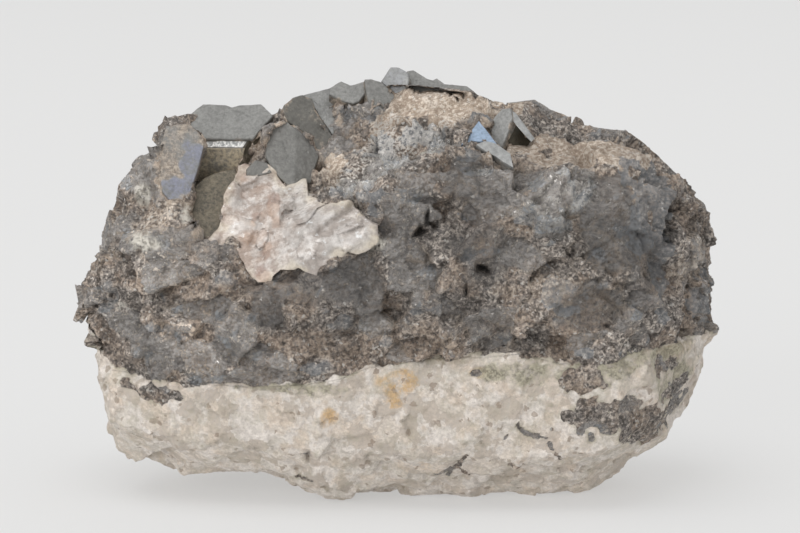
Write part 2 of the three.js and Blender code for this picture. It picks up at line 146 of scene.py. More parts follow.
# How far the fine relief lies below the coarse skin on the whole
ORE_SUNK, GRANITE_SUNK = 0.4, 0.3
# Chips are bent sideways: how far, the size of a bend and its seed. Then they are squeezed,
# which makes them longer than they are high
WARP = [0.7, 5.0, 101]
SQUEEZE = [0.85, 1, 1.15]
# How far back along Y the crystals' surroundings, the pits and the dark facets may reach
BESIDE_REAR, PIT_REAR, FACET_REAR = 6, 4, -10

# The ore's outline against the sky, as [x, z] at the middle of the depth, and the share by
# which relief beyond it is lowered
SKYLINE = [
    [-73.2, 45.2], [-70.2, 51.5], [-67.7, 57.4], [-65.2, 63], [-63.4, 68.9], [-60, 73.9],
    [-56.2, 78.6], [-53.5, 83.7], [-50, 85.5], [-46, 86], [-31, 86], [-27, 87.4], [-24, 88],
    [-16, 90.5], [-6, 91.5], [0, 93], [6, 92.5], [12, 91.3], [18.4, 90.8], [21.9, 89], [26.8, 88],
    [32.2, 89.1], [36.3, 86.8], [41.4, 85.1], [46, 82.5], [53.4, 81.6], [58.5, 78.1],
    [62.7, 73.8], [68.3, 69.5], [72.7, 64.3],
]
SKYLINE_SHARE = 0.8
SKYLINE_HALF = 71  # it is followed over this length either side of the middle
VIEW_TILT = round(math.tan(CAMERA_DROP), 4)

# Where the outline is drawn in or out: [x, z, half width, half height, along x, along z]
SHIFTS = [
    [75, 51, 7, 17, -1.5, 0], [-75, 45, 8, 13, 2.4, 0], [-69, 17, 8, 12, 2.2, 0],
    [-60, 7, 9, 8, 0.2, 0.4], [-57, 79, 8, 7, 1.0, -0.6], [-67, 60, 7, 12, 0.6, 0],
]

# Flat broken faces of the ore at the front, in the form of the crystals below
FLATS = [
    {"y": -24.5, "lean": [-0.6, 0.1],
     "face": [[-74, 43.5], [-73, 36.5], [-68, 32.5], [-58, 31.5], [-55, 44], [-60.5, 57.5],
              [-68, 55.5]]},
    {"y": -17.5, "lean": [-0.7, 0.7],
     "face": [[-63, 72.4], [-58, 77.5], [-54.8, 80.6], [-53, 78], [-53, 73.2], [-56.5, 68.6],
              [-62, 68]]},
]

# Crystals: {y: depth of the face's middle, lean: how fast the face goes back along X and
# along Z, bevel: width of its edge bevel, deep: thickness, face: its corners as [x, z],
# tone: from 0, dark, to 1, pale grey, giving the face's own tone together with the light
# and shade painted on it, and above 1 a painted highlight, dust: share of brown crust on it,
# blue: bluish sheen, gold: share of a brownish gold sheen,
# fold: where along X it bends back and how fast}
CREST_CRYSTALS = [
    {"y": -5.2, "lean": [0, 1.1], "bevel": 0.2, "deep": 11, "tone": 0.5, "dust": 0.15,
     "face": [[-46.8, 86.6], [-45.4, 87.6], [-43.8, 88.8], [-38.8, 88.6], [-37.2, 88.2],
              [-35.4, 88.6], [-30.6, 88.8], [-27.8, 86.4], [-32.2, 81.8], [-43, 81.8],
              [-46.6, 84.6]]},
    # A narrow bevel strip: its tone above 1 paints a highlight on it
    {"y": -10, "lean": [0, 0.45], "bevel": 0.15, "deep": 8, "tone": 1.25, "dust": 0.05,
     "face": [[-43.2, 81.9], [-32.4, 81.9], [-34, 79.3], [-42.9, 79.3]]},
    # A face turned slightly down: its low tone paints the shade that it lies in
    {"y": -11.2, "lean": [0, -0.12], "bevel": 0.15, "deep": 8, "tone": 0.2, "dust": 0.1,
     "gold": 1,
     "face": [[-42.8, 79.4], [-34, 79.4], [-35.4, 73], [-39, 70], [-44.6, 69], [-45.2, 75.6]]},
    {"y": -10.4, "lean": [0.8, 0.1], "bevel": 0.15, "deep": 8, "tone": 0.0, "dust": 0.3,
     "face": [[-32.6, 81.7], [-30, 81.8], [-31.4, 79], [-33.8, 74.2], [-35.4, 73.6],
              [-34.1, 79.2]]},
    {"y": -20.2, "lean": [0.1, 0.8], "bevel": 0.35, "deep": 10, "tone": 0.06, "dust": 0.2,
     "gold": 0.4, "face": [[-46, 67.6], [-44.6, 71.8], [-42.6, 73.4], [-39.4, 74.6], [-36, 75],
              [-35.4, 73.6], [-37.4, 68], [-38, 62.8], [-40.2, 60.8], [-42.8, 61],
              [-45.2, 63.2]]},
    {"y": -18.8, "lean": [0.1, 0.55], "bevel": 0.2, "deep": 11, "tone": 0.6, "dust": 0.6,
     "blue": 1,
     "face": [[-51.4, 84.9], [-46.4, 85.4], [-43.3, 82.4], [-43, 81], [-44.1, 76.6],
              [-46.6, 68.2], [-50, 69], [-52, 71.2], [-53.4, 75.5], [-52.6, 80.6]]},
    {"y": -14.6, "lean": [0, 0.5], "bevel": 0.2, "deep": 12, "tone": 0.38, "dust": 0.15,
     "fold": [-22.4, 0.45],
     "face": [[-28.8, 83.4], [-24.2, 85.4], [-19.3, 81.6], [-17.1, 78], [-18.9, 72.3],
              [-23.5, 71.5], [-27.3, 75.2], [-28.9, 78]]},
    {"y": -7.7, "lean": [0.25, 0.6], "bevel": 0.3, "deep": 12, "tone": 0.22, "dust": 0.35,
     "face": [[-24.8, 89], [-23, 90.4], [-20.8, 91], [-18.8, 90.2], [-18, 87.8],
              [-16.2, 85.2], [-13.8, 81.6], [-14.8, 79.8], [-17.2, 79], [-19, 82.2],
              [-21.4, 83.8], [-23.6, 85.2], [-24.8, 87]]},
    {"y": -3.9, "lean": [0.25, 0.8], "bevel": 0.2, "deep": 10, "tone": 0.6, "dust": 0.15,
     "face": [[-20.8, 90.8], [-14.6, 92.2], [-13.8, 89.6], [-12.6, 85.6], [-13.6, 82],
              [-16.2, 85.4], [-18, 88], [-19, 90]]},
    {"y": -16, "lean": [0, 0.4], "bevel": 0.2, "deep": 9, "tone": 0.35, "dust": 0.2,
     "face": [[-33.4, 75.2], [-31.4, 77.2], [-28.8, 76.6], [-27.8, 74.6], [-31, 73.8],
              [-33.2, 74]]},
    {"y": -4.3, "lean": [0, 0.9], "bevel": 0.2, "deep": 10, "tone": 0.5, "dust": 0.2,
     "face": [[-14.6, 92.6], [-12, 94], [-10, 93.2], [-6.6, 94], [-6.4, 91.8], [-8, 90],
              [-9.2, 89.6], [-11.6, 90.2], [-14.6, 91.4]]},
    {"y": -5.4, "lean": [0.3, 0.8], "bevel": 0.2, "deep": 11, "tone": 0.45, "dust": 0.2,
     "face": [[-6.4, 94.6], [-5, 94.6], [-3, 94], [-2.2, 93.4], [0.8, 90.4], [-1.8, 88.8],
              [-5, 88.4], [-5.8, 90.8]]},
    {"y": -2.2, "lean": [-0.25, 0.55], "bevel": 0.2, "deep": 10, "tone": 0.75, "dust": 0.1,
     "blue": 0.3,
     "face": [[-2.8, 94], [-0.6, 97], [1.2, 97], [3, 96], [3.4, 94.6], [2.8, 92.4],
              [1, 90.8], [-1, 92.4]]},
    {"y": 0.4, "lean": [0.15, 0.9], "bevel": 0.2, "deep": 11, "tone": 0.5, "dust": 0.25,
     "face": [[3.2, 96], [4.6, 96.2], [7.6, 94.4], [9.2, 94], [10, 94.4], [11.8, 93.2],
              [17, 92.6], [18.6, 91.4], [12.4, 91.4], [6.2, 90.8], [3.8, 92]]},
    {"y": -22, "lean": [-0.6, 0.6], "bevel": 0.12, "deep": 10, "tone": 0.6, "dust": 0.2,
     "face": [[20.2, 86.6], [22, 86.4], [23.2, 88], [24.6, 89.4], [26.2, 89.6], [26.6, 87.4],
              [25.4, 83.8], [24.2, 81.2], [23.2, 82], [21.4, 84.4]]},
    {"y": -21.5, "lean": [0.8, 0.3], "bevel": 0.12, "deep": 10, "tone": -0.05, "dust": 0,
     "face": [[27, 87.2], [28, 85.6], [30, 83.6], [31.4, 82.2], [30.6, 80.6], [28.6, 80.4],
              [26.6, 81.6], [25.2, 83.2], [25.8, 84.6]]},
    {"y": -22.3, "lean": [0.6, 0.9], "bevel": 0.1, "deep": 1.2, "tone": 0.9, "dust": 0,
     "face": [[26.6, 88.8], [27.4, 88.6], [31.8, 83], [31, 82.4], [29.3, 84.2], [26.8, 87]]},
    {"y": -31.2, "lean": [0.25, 1.0], "bevel": 0.12, "deep": 9, "tone": 0.85, "dust": 0,
     "face": [[18.6, 82.4], [20.4, 83.2], [22.8, 82.6], [24.8, 81.2], [26, 80.4],
              [26.6, 77.6], [24.2, 79], [22.4, 80.2], [20.4, 81.2]]},
]
SHEEN = [[-45.2, -20, 77, 2.6, 9, 7], [-48.4, -22, 71, 3.6, 9, 3.4], [0.5, 0, 94, 3, 9, 3]]
BLUE_CRYSTAL = {
    "y": -27.2, "lean": [0, 1.0], "bevel": 0.1, "deep": 8, "tone": 1, "dust": 0,
    "face": [[15.2, 82.2], [19.2, 87], [23, 82.4], [20.4, 82.8], [17.8, 83]],
}
REAR_CRYSTALS = [
    {"y": 8, "lean": [0.3, -1.3], "bevel": 0.4, "deep": 12, "tone": 0.6,
     "face": [[-46, 80], [-42.5, 86], [-33, 86.5], [-29.5, 81], [-36, 76.5]]},
    {"y": 13, "lean": [-0.5, -0.8], "bevel": 0.3, "deep": 12, "tone": 0.3,
     "face": [[-27, 80], [-25, 85], [-19.5, 84.5], [-20.5, 79]]},
    {"y": 7, "lean": [0.1, -1.6], "bevel": 0.3, "deep": 12, "tone": 0.7,
     "face": [[-22, 86], [-17.5, 90.5], [-10, 89.5], [-7.5, 86], [-14, 83]]},
    {"y": 12, "lean": [-0.2, -0.9], "bevel": 0.4, "deep": 12, "tone": 0.4,
     "face": [[-7, 85], [-1, 91], [6.5, 88], [4, 82]]},
    {"y": 19, "lean": [0.4, -1.1], "bevel": 0.2, "deep": 12, "tone": 0.2,
     "face": [[11, 81], [16, 86.5], [21, 84], [19.5, 79], [14, 78.5]]},
    {"y": 5, "lean": [0.6, -0.8], "bevel": 0.3, "deep": 12, "tone": 0.45,
     "face": [[-58, 74], [-54.5, 79.5], [-48, 79], [-50, 72.5]]},
]
# The feldspar nodule: its outline as [x, z], its middle and how far it stands out
NODULE = [
    [-35, 76], [-33.4, 75.6], [-31.6, 75.2], [-30, 76], [-28.4, 76.4], [-27, 75],
    [-24.6, 71.8], [-23, 72.6], [-19.4, 73.6], [-19.4, 70.4], [-15.2, 69.4], [-10.4, 69.8],
    [-8.2, 68.4], [-5.8, 66.4], [-3.2, 65.6], [-3.6, 61.2], [-5.6, 60], [-9.2, 59.2],
    [-12.2, 58.6], [-15.8, 55.6], [-17, 54.6], [-20.6, 55.6], [-25, 55.2], [-26.8, 53.8],
    [-27.8, 52.6], [-30, 52.4], [-32, 54.2], [-34, 56.8], [-35, 59.2], [-36.6, 60.6],
    [-39.2, 59.8], [-41.4, 58.6], [-42.2, 60.8], [-39.4, 62.8], [-38.2, 64.2], [-38.6, 67.6],
    [-38.2, 70.2], [-35.6, 73.6],
]
NODULE_MIDDLE = [-25.0, 64.0]
NODULE_RISE = 2.2
NODULE_CHIPS = {"cell": 6.0, "slope": 0.26, "step": 0.1, "seed": 131}
NODULE_GRAINS = {"cell": 1.9, "slope": 0.2, "step": 0.05, "seed": 141}
NODULE_EDGE = 150.0
NODULE_REACH = 18  # from its middle to its outline, as a rule
NODULE_SIDES = (0.7, 1.6, 3, 5, 8)  # depths of the rings of its sides, which go into the stone
# Angles between which the front of the skin lies, and how often they are halved to find it
FRONT_ANGLES, HALVINGS = (-1.4, 1.55), 14
# The hollow between the crystals: its corners as [x, z] and its depth
HOLLOW = [[-42.4, 81], [-32.5, 81], [-34, 77], [-36, 73.5], [-42.6, 73], [-43.4, 76]]
HOLLOW_DEPTH = 4.5
NODULE_SOCKET = 1.6  # how far the skin is lower behind the nodule
# Ore within BANK_REACH of a crystal comes forward to its face, more or less by BANK_WAVE, and
# ore behind a crystal keeps CLEARANCE from its face
BANK_REACH, BANK_WAVE, CLEARANCE = 3.8, 1.6, 1.2
MOST_BANK, MOST_FLAT = 5.0, 8.0  # how far ore comes forward at most, there and on a flat

# Pits: [x, z, half width, half height, depth, degrees of turn]
PITS = [
    [7.4, 66.6, 0.8, 3.2, 3.5, 12], [5.8, 63.8, 2.4, 1.7, 5, -25],
    [8.8, 65.6, 1.5, 0.7, 3, 40],
    [62.4, 62.5, 1.3, 4.4, 4, -6], [63.8, 67.2, 1.6, 1.6, 4, 20], [-17.2, 76.6, 1.4, 1.6, 5, 0],
    [-3.8, 81, 1.1, 3.6, 4, 28], [25.4, 82.2, 1, 1.3, 3, 10], [20, 55.6, 2.2, 0.9, 2.5, 30],
    [12.6, 82.5, 1, 0.6, 2.5, 0], [-10.5, 88.5, 1.6, 1.1, 4, 10], [16, 51, 0.5, 2.2, 2, 8],
]
# Cracks: [x, z, x, z] of the two ends
CRACKS = [
    [-58.5, 46.2, -54.4, 45.4], [-11.5, 41.6, -7.2, 41.2], [-4.6, 46.8, -1.2, 45.2],
    [-3.2, 42, 2.2, 41.8], [-33.6, 46.6, -31.8, 46.8], [36, 64.8, 39.4, 64.4],
    [40.5, 53.4, 55, 52.6], [17.6, 54.2, 21.8, 57.4], [46.4, 43.2, 49.6, 42.2],
    [-20, 14.6, -18.4, 10.4],
]

# Patches of colour, as [x, y, z, half size along x, along y, along z]
TAN = [
    [45, -26, 80.5, 13, 11, 5], [12.9, -12, 90, 14, 7, 4.5], [-14, -17, 75, 6, 7, 6],
    [30, -22, 82, 6, 6, 4], [-55, -27, 66, 8, 6, 8], [66, -20, 55, 5, 9, 8],
    [1, -36, 62, 7, 5, 8], [37, -41, 52, 12, 5, 4], [-2, -15, 86, 6, 6, 5],
]
BLUE = [
    [55, -35, 66, 3, 7, 9], [70, -16, 48, 5, 8, 8], [-4, -34, 69.4, 6, 5, 2.6],
    [60, -31, 56, 3, 6, 12], [52, -30, 77, 5, 6, 4], [32, -38, 67, 6, 5, 3],
    [60, -30, 70, 5, 7, 9], [38, -40, 50, 6, 5, 4],
]
DARK = [
    [43.5, -41, 47, 8, 6, 6], [-18, -40, 52, 16, 6, 4.5], [56, -36, 55, 6, 7, 7],
    [22, -42, 60, 9, 5, 6],
]
# Smooth dark facets of the ore's front: their corners as [x, z]
DARK_FACES = [
    [[39.5, 73.8], [45.7, 75.8], [51.3, 77.2], [56.4, 59.7], [54.6, 54.8], [44, 55.7]],
    [[13, 79], [19.3, 81], [25.5, 73.6], [25.3, 70], [16.4, 70.7], [10.4, 72.9]],
    [[-31.9, 48.6], [-29, 52], [-24.2, 50.8], [-25, 43.6], [-29, 42.3], [-31.7, 44.5]],
    [[-15.8, 54.1], [-10.7, 58], [-5.1, 59], [-2, 51.9], [-2.9, 42.3], [-7.3, 43.6],
     [-9.1, 48.6], [-14, 49]],
    [[36.9, 52.4], [45.7, 54.1], [48.4, 50.3], [43.5, 48.6], [38, 45.9], [33.6, 48.6]],
]
SILVER = [
    [0, -22, 81, 11, 13, 9], [34, -37, 68, 8, 6, 6], [40, -36, 73, 5, 6, 4],
    [-8, -26, 75, 7, 7, 5], [20, -30, 78, 6, 6, 4],
]
PALE = [
    [-56.6, -20, 69.6, 2, 5, 2.6], [-46.4, -28, 66, 1.4, 4, 2.4], [-61.7, -27, 45.5, 1.5, 4, 1.1],
    [6.5, -28, 80.2, 3.2, 4, 1.4], [-55.5, -30, 60.5, 4.6, 5, 2], [-4, -40, 61.5, 2.6, 4, 1.8],
]
OCHRE = [
    [0.4, -40, 29.7, 5, 5, 3.4], [0, -40, 25.5, 2.6, 5, 1.4], [-14.5, -40, 22.2, 2, 5, 2.2],
    [-4, -40, 60.3, 2.4, 4, 1.8], [19, -41, 32.6, 3, 5, 1.2], [62, -28, 35, 8, 8, 2],
]
# Patches where the ore is made paler: painted light on its left side and at its crest, where more
# light falls, and at the crest also its paler crust
PAINTED_LIGHT = [
    [-61, -26, 48, 13, 14, 11], [-50, -30, 54, 12, 12, 6], [-46, -32, 40, 12, 10, 5],
    [-67, -22, 46, 8, 12, 11], [-12, -22, 78, 8, 14, 8], [11, -11, 89.5, 13, 9, 4.5],
    [-58, -22, 66, 8, 12, 9],
]
OLIVE = [
    [28, -41, 32.4, 12, 6, 2.6], [59, -30, 34.5, 10, 12, 3.6], [-24, -40, 28.5, 9, 5, 1.5],
    [45, -40, 33, 12, 8, 2.6], [64, -24, 28, 7, 12, 5],
]
# Islands of ore in the granite, in the same form
ISLANDS = [
    [-54.2, -29, 27, 6.8, 12, 2.6], [50, -38, 21.6, 12, 10, 4.4], [58.5, -26, 18, 6.6, 14, 5.6],
    [59.5, -28, 32.4, 5.2, 12, 2.3], [41.4, -41, 31.4, 4.6, 7, 3.4], [18.1, -41, 32.4, 1.4, 5, 1],
    [66, -20, 21, 6, 12, 5], [-30, 36, 22, 9, 9, 5], [65, -22, 26, 3.5, 12, 3.6],
    [26, 34, 18, 12, 9, 6],
]
# Veins of ore in the granite, and their half width: [x, z, x, z] of the two ends
VEINS = [
    [25.6, 18, 22.6, 14.8], [28.4, 21.6, 27.6, 20.2], [27.6, 20.2, 29.6, 18.2],
    [29.6, 18.2, 34, 17.2], [34.6, 16, 37.6, 12], [9.6, 7.2, 14.4, 8.8],
    [14.4, 8.8, 16.2, 12.6], [14.4, 8.8, 17.4, 6.2], [12.4, 6.4, 15, 10.8],
    [-20.4, 15, -19, 11.6], [-22, 6.4, -18.6, 5.6], [26.4, 10.6, 28.4, 9.8],
]
VEIN_HALF = 0.42


# Numbers and noise


def along(line, x):
    """Height of a line of [x, value] points at x."""
    places, values = np.array(line, float).T
    return np.interp(x, places, values)


def unit(v):
    """Vectors made one long."""
    v = np.asarray(v, float)
    return v / np.maximum(np.linalg.norm(v, axis=-1, keepdims=True), 1e-9)


def ease(value, low, high):
    """0 below low, 1 above high and a smooth S between them."""
    t = np.clip((value - low) / (high - low), 0, 1)
    return t * t * (3 - 2 * t)


def chance(cell, seed):
    """Repeatable numbers from 0 to 1 for cells (..., 3), by mixing 32-bit products."""
    i, j, k = np.moveaxis(cell.astype(np.int64).astype(np.uint32), -1, 0)
    h = i * np.uint32(374761393) + j * np.uint32(668265263)
    h = h + k * np.uint32(2147483629) + np.uint32(seed * 144665)
    h = (h ^ (h >> np.uint32(13))) * np.uint32(1274126177)
    h = (h ^ (h >> np.uint32(16))) * np.uint32(1103515245)
    return (h ^ (h >> np.uint32(15))) / 4294967296


def steps(low, high):
    """Every whole-number step (i, j, k) with each number from low to high."""
    reach = np.arange(low, high + 1)
    return np.stack(np.meshgrid(reach, reach, reach, indexing="ij"), -1).reshape(-1, 3)


def lumps(p, cell, seed):
    """Smooth random height from -1 to 1: the lattice's numbers, eased between its corners."""
    at = p / cell
    base = np.floor(at)
    share = ease(at - base, 0, 1)
    total = 0
    for step in steps(0, 1):
        weight = np.where(step, share, 1 - share).prod(-1)
        total = total + weight * chance(base + step, seed)
    return 2 * total - 1


def chip_faces(p, cell, slope, seed, step=0.0, edge=CHIP_EDGE):
    """Tilted flat faces, one round each random point, averaged with weights that fall off
    steeply with distance, so that they meet in soft edges. Gives their height, the gap
    between the nearest two points, which is 0 where faces meet, and each face's own number."""
    at = p / cell
    base = np.floor(at)
    far, height, own = [], [], []
    for offset in steps(-1, 1):
        corner = base + offset
        away = at - corner - np.stack([chance(corner, seed + n) for n in range(3)], -1)
        tilt = 2 * np.stack([chance(corner, seed + n) for n in (3, 4, 5)], -1) - 1
        number = chance(corner, seed + 6)
        far.append((away * away).sum(-1))
        height.append(slope * cell * (tilt * away).sum(-1) + step * (number - 0.5))
        own.append(number)
    far = np.array(far)
    weight = np.exp(-edge * (far - far.min(0)))
    weight /= weight.sum(0)
    nearest = np.partition(far, 1, axis=0)
    gap = nearest[1] - nearest[0]
    return (weight * np.array(height)).sum(0), gap, (weight * np.array(own)).sum(0)


# The skin


def trim(y, z, middle, a, b):
    """Moves ring points in towards the middle until they are behind the line a-b."""
    across = a[1] - b[1], b[0] - a[0]
    limit = across[0] * (a[0] - middle[0]) + across[1] * (a[1] - middle[1])
    reach = across[0] * (y - middle[0]) + across[1] * (z - middle[1])
    beyond = (limit * reach > 0) & (np.abs(reach) > np.abs(limit))
    keep = np.where(beyond, limit / np.where(beyond, reach, 1), 1)
    return middle[0] + (y - middle[0]) * keep, middle[1] + (z - middle[1]) * keep


def smooth_skin(x, angle):
    """Points of the skin before its relief. The ring at x is a superellipse between the four
    lines, with a slope from ledge to crest, one down the back and two under the sole. Every
    point beyond a fracture plane is drawn in towards the core, and the flat broken faces are
    brought forward to their planes, by MOST_FLAT at most."""
    x = np.clip(x, LEFT, RIGHT)
    top, bottom = along(TOP_LINE, x), along(BOTTOM_LINE, x)
    front, back = along(FRONT_LINE, x), along(BACK_LINE, x)
    middle = (front + back) / 2, (top + bottom) / 2
    half = (back - front) / 2, (top - bottom) / 2
    c, s = np.cos(angle), np.sin(angle)
    reach = (np.abs(c) ** SQUARENESS + np.abs(s) ** SQUARENESS) ** (-1 / SQUARENESS)
    y, z = middle[0] - half[0] * reach * c, middle[1] + half[1] * reach * s
    crest = middle[0] + CREST_Y * np.minimum(1, half[0] / 30), top + 0.2
    y, z = trim(y, z, middle, (front, np.minimum(along(LEDGE_LINE, x), top)), crest)
    y, z = trim(y, z, middle, crest, (back, middle[1] + 0.3 * half[1]))
    sole_back = SOLE_BACK_Y * np.minimum(1, half[0] / 36)
    y, z = trim(y, z, middle, (along(SOLE_LINE, x), bottom), (front, bottom + 0.34 * half[1]))
    y, z = trim(y, z, middle, (back, bottom + 0.5 * half[1]), (sole_back, bottom))
    p = np.stack([x + 0 * y, y, z], -1)
    for facing, distance in FRACTURES:
        out = p - CORE
        reach = out @ unit(facing)
        p = CORE + out * (distance / np.maximum(reach, distance))[..., None]
    for flat in FLATS:
        within = ease(inside_polygon(flat["face"], p[..., 0], p[..., 2]), -1.8, 2.2)
        depth = flat["y"] + (p[..., [0, 2]] - np.mean(flat["face"], 0)) @ flat["lean"]
        p[..., 1] += np.clip(depth - p[..., 1], -MOST_FLAT, 0) * within * np.clip(4 * c, 0, 1)
    return p


def skin_facing(x, angle):
    """Outward direction: the step along X crossed with the step round the ring."""
    step_x, step_round = 1.8, 0.05
    lengthwise = smooth_skin(x + step_x, angle) - smooth_skin(x - step_x, angle)
    around = smooth_skin(x, angle + step_round) - smooth_skin(x, angle - step_round)
    return unit(np.cross(lengthwise, around))


def on_front(facing):
    """How far a surface looks towards the viewer, from 0 to 1."""
    return np.clip(-facing[..., 1], 0, 1)


def inside_polygon(corners, x, z):
    """Distance in from the nearest side's line of a convex polygon, in either order."""
    corners = np.array(corners, float)
    onward = np.roll(corners, -1, 0)
    turn = np.sign((corners[:, 0] * onward[:, 1] - onward[:, 0] * corners[:, 1]).sum())
    depth = np.inf
    for a, b in zip(corners, onward):
        side = turn * (b - a) / np.linalg.norm(b - a)
        depth = np.minimum(depth, side[0] * (z - a[1]) - side[1] * (x - a[0]))
    return depth


def edge_distance(corners, x, z):
    """Distance to the outline of any polygon: above 0 inside it and below 0 outside."""
    corners = np.array(corners, float)
    near, inside = np.full(np.shape(x), np.inf), np.zeros(np.shape(x), bool)
    for a, b in zip(corners, np.roll(corners, -1, 0)):
        side = b - a
        share = np.clip(((x - a[0]) * side[0] + (z - a[1]) * side[1]) / (side @ side), 0, 1)
        near = np.minimum(near, np.hypot(x - a[0] - share * side[0], z - a[1] - share * side[1]))
        spans = (a[1] > z) != (b[1] > z)
        level = side[1] if side[1] else 1.0
        inside ^= spans & (x < a[0] + (z - a[1]) / level * side[0])
    return np.where(inside, near, -near)


def spots(p, patches, ragged=0.3):
    """1 inside any of the ellipsoid patches and 0 outside, with ragged edges."""
    stray = ragged * (lumps(p, 3.2, 81) + 0.6 * lumps(p, 1.3, 82))
    nearest = np.full(p.shape[:-1], np.inf)
    for x, y, z, wide, deep, high in patches:
        far = np.linalg.norm((p - [x, y, z]) / [wide, deep, high], axis=-1)
        nearest = np.minimum(nearest, far)
    return 1 - ease(nearest + stray, 0.75, 1.15)


def from_segments(segments, x, z):
    """Distance to the nearest of several straight segments."""
    nearest = np.full(np.shape(x), np.inf)
    for ax, az, bx, bz in segments:
        share = ((x - ax) * (bx - ax) + (z - az) * (bz - az)) / math.dist((ax, az), (bx, bz)) ** 2
        share = np.clip(share, 0, 1)
        away = np.hypot(x - ax - share * (bx - ax), z - az - share * (bz - az))
        nearest = np.minimum(nearest, away)
    return nearest


def above_contact(p, x, angle):
    """Height above the line between granite and ore, at the front and round to the back."""
    at_back = ease(-np.cos(angle), -0.3, 0.3)
    line = along(FRONT_CONTACT, x) * (1 - at_back) + along(BACK_CONTACT, x) * at_back
    return p[..., 2] - line


def gouges(p, facing):
    """(depth, painted shade) of the pits, the cracks, the hollow between the crystals and the
    socket that the nodule sits in. The painted shade darkens the pits, the cracks and the
    hollow, not the socket."""
    x, z = p[..., 0], p[..., 2]
    front = (on_front(facing) > 0.12) & (p[..., 1] < PIT_REAR)
    ragged = 0.35 * lumps(p, 1.0, 91)
    wave = 0.9 * lumps(p, 3.4, 92)
    depth = HOLLOW_DEPTH * ease(inside_polygon(HOLLOW, x, z), 0, 1)
    dark = ease(depth, 0.4, 2.5) * 0.45
    depth = np.maximum(depth, NODULE_SOCKET * ease(edge_distance(NODULE, x, z), 0.2, 1.4))
    for px, pz, wide, high, deep, turn in PITS:
        c, s = math.cos(math.radians(turn)), math.sin(math.radians(turn))
        u, v = ((x - px) * c - (z - pz) * s) / wide, ((x - px) * s + (z - pz) * c) / high
        inner = np.clip(1 - (np.abs(u) + np.abs(v)) - 1.4 * ragged, 0, 1)
        depth = np.maximum(depth, deep * inner**0.6)
        dark = np.maximum(dark, ease(inner, 0.02, 0.4))
    for ax, az, bx, bz in CRACKS:
        length = math.hypot(bx - ax, bz - az)
        run = ((x - ax) * (bx - ax) + (z - az) * (bz - az)) / length**2
        off = ((x - ax) * (bz - az) - (z - az) * (bx - ax)) / length + wave
        near = (1 - ease(np.abs(off) + ragged, 0.1, 0.6)) * ease(0.5 - np.abs(run - 0.5), 0, 0.25)
        depth, dark = np.maximum(depth, 0.8 * near), np.maximum(dark, 0.7 * near)
    return depth * front, dark * front


def face_depth(shape, p):
    """Depth of a crystal's face, or of its plane beyond the face, in front of points p."""
    depth = shape["y"] + (p[..., [0, 2]] - np.mean(shape["face"], 0)) @ shape["lean"]
    ridge, drop = shape.get("fold", (0, 0))
    return depth + drop * np.maximum(p[..., 0] - ridge, 0)


def crystal_edges(p):
    """(distance outside the nearest crystal's outline, depth of that crystal's face)."""
    nearest, depth = np.full(p.shape[:-1], np.inf), p[..., 1]
    for shape in CREST_CRYSTALS:
        away = -edge_distance(shape["face"], p[..., 0], p[..., 2])
        depth = np.where(away < nearest, face_depth(shape, p), depth)
        nearest = np.minimum(nearest, away)
    return nearest, depth


def behind_crystals(p, facing):
    """Points of the skin's front moved back where they would hide a crystal's face."""
    front = (on_front(facing) > 0.05) & (p[..., 1] < BESIDE_REAR)
    ragged = 0.4 * lumps(p, 1.0, 91) + 1.7 * np.maximum(lumps(p, 3.6, 37), 0)
    back = 0
    for shape in CREST_CRYSTALS + [BLUE_CRYSTAL]:
        far_in = edge_distance(shape["face"], p[..., 0], p[..., 2]) - ragged
        push = np.maximum(face_depth(shape, p) + CLEARANCE - p[..., 1], 0)
        back = np.maximum(back, push * ease(far_in, -0.2, 0.4))
    moved = p.copy()
    moved[..., 1] += back * front
    return moved


def drawn_in(p):
    """Points moved by the shifts that bring the outline where the photo has it."""
    moved = p.copy()
    for x, z, wide, high, along_x, along_z in SHIFTS:
        far = ((p[..., 0] - x) / wide) ** 2 + ((p[..., 2] - z) / high) ** 2
        share = np.clip(1 - far, 0, 1) ** 1.5
        moved[..., 0] += along_x * share
        moved[..., 2] += along_z * share
    return moved


def coarse_skin(x, angle):
    """The smooth skin moved outwards by its large relief, and which way it faces."""
    p = smooth_skin(x, angle)
    facing = skin_facing(x, angle)
    front = on_front(facing)
    rise = 0
    for sx, sz, wide, high, height in SWELLS:
        far = ((p[..., 0] - sx) / wide) ** 2 + ((p[..., 2] - sz) / high) ** 2
        rise = rise + height * np.clip(1 - far, 0, 1) ** 2 * front
    for cell, height, seed in LUMPS:
        rise = rise + height * lumps(p, cell, seed)
    for cell, slope, seed in CHIPS:
        rise = rise + chip_faces(p, cell, slope, seed)[0]
    from_end = np.minimum(p[..., 0] - LEFT, RIGHT - p[..., 0])
    rise = rise * (1 - FRONT_CALM * front) * np.minimum(1, from_end / END_FADE)
    in_ore = ease(above_contact(p, x, angle), -4, 3)
    rise = rise * (GRANITE_CALM + (1 - GRANITE_CALM) * in_ore)
    return drawn_in(p + facing * rise[..., None]), facing


def ore_share(p, above):
    """(share of ore above the contact line, share with the islands and veins below it)."""
    main = ease(above, -1.2, 1.2)
    from_vein = from_segments(VEINS, p[..., 0], p[..., 2]) + 0.4 * lumps(p, 1.0, 39)
    from_vein = from_vein + 0.7 * np.maximum(lumps(p, 2.4, 40), 0)
    vein = (1 - ease(from_vein, 0.7 * VEIN_HALF, 1.5 * VEIN_HALF)) * (p[..., 1] < 0)
    return main, np.maximum(np.maximum(main, spots(p, ISLANDS, 0.55)), vein)


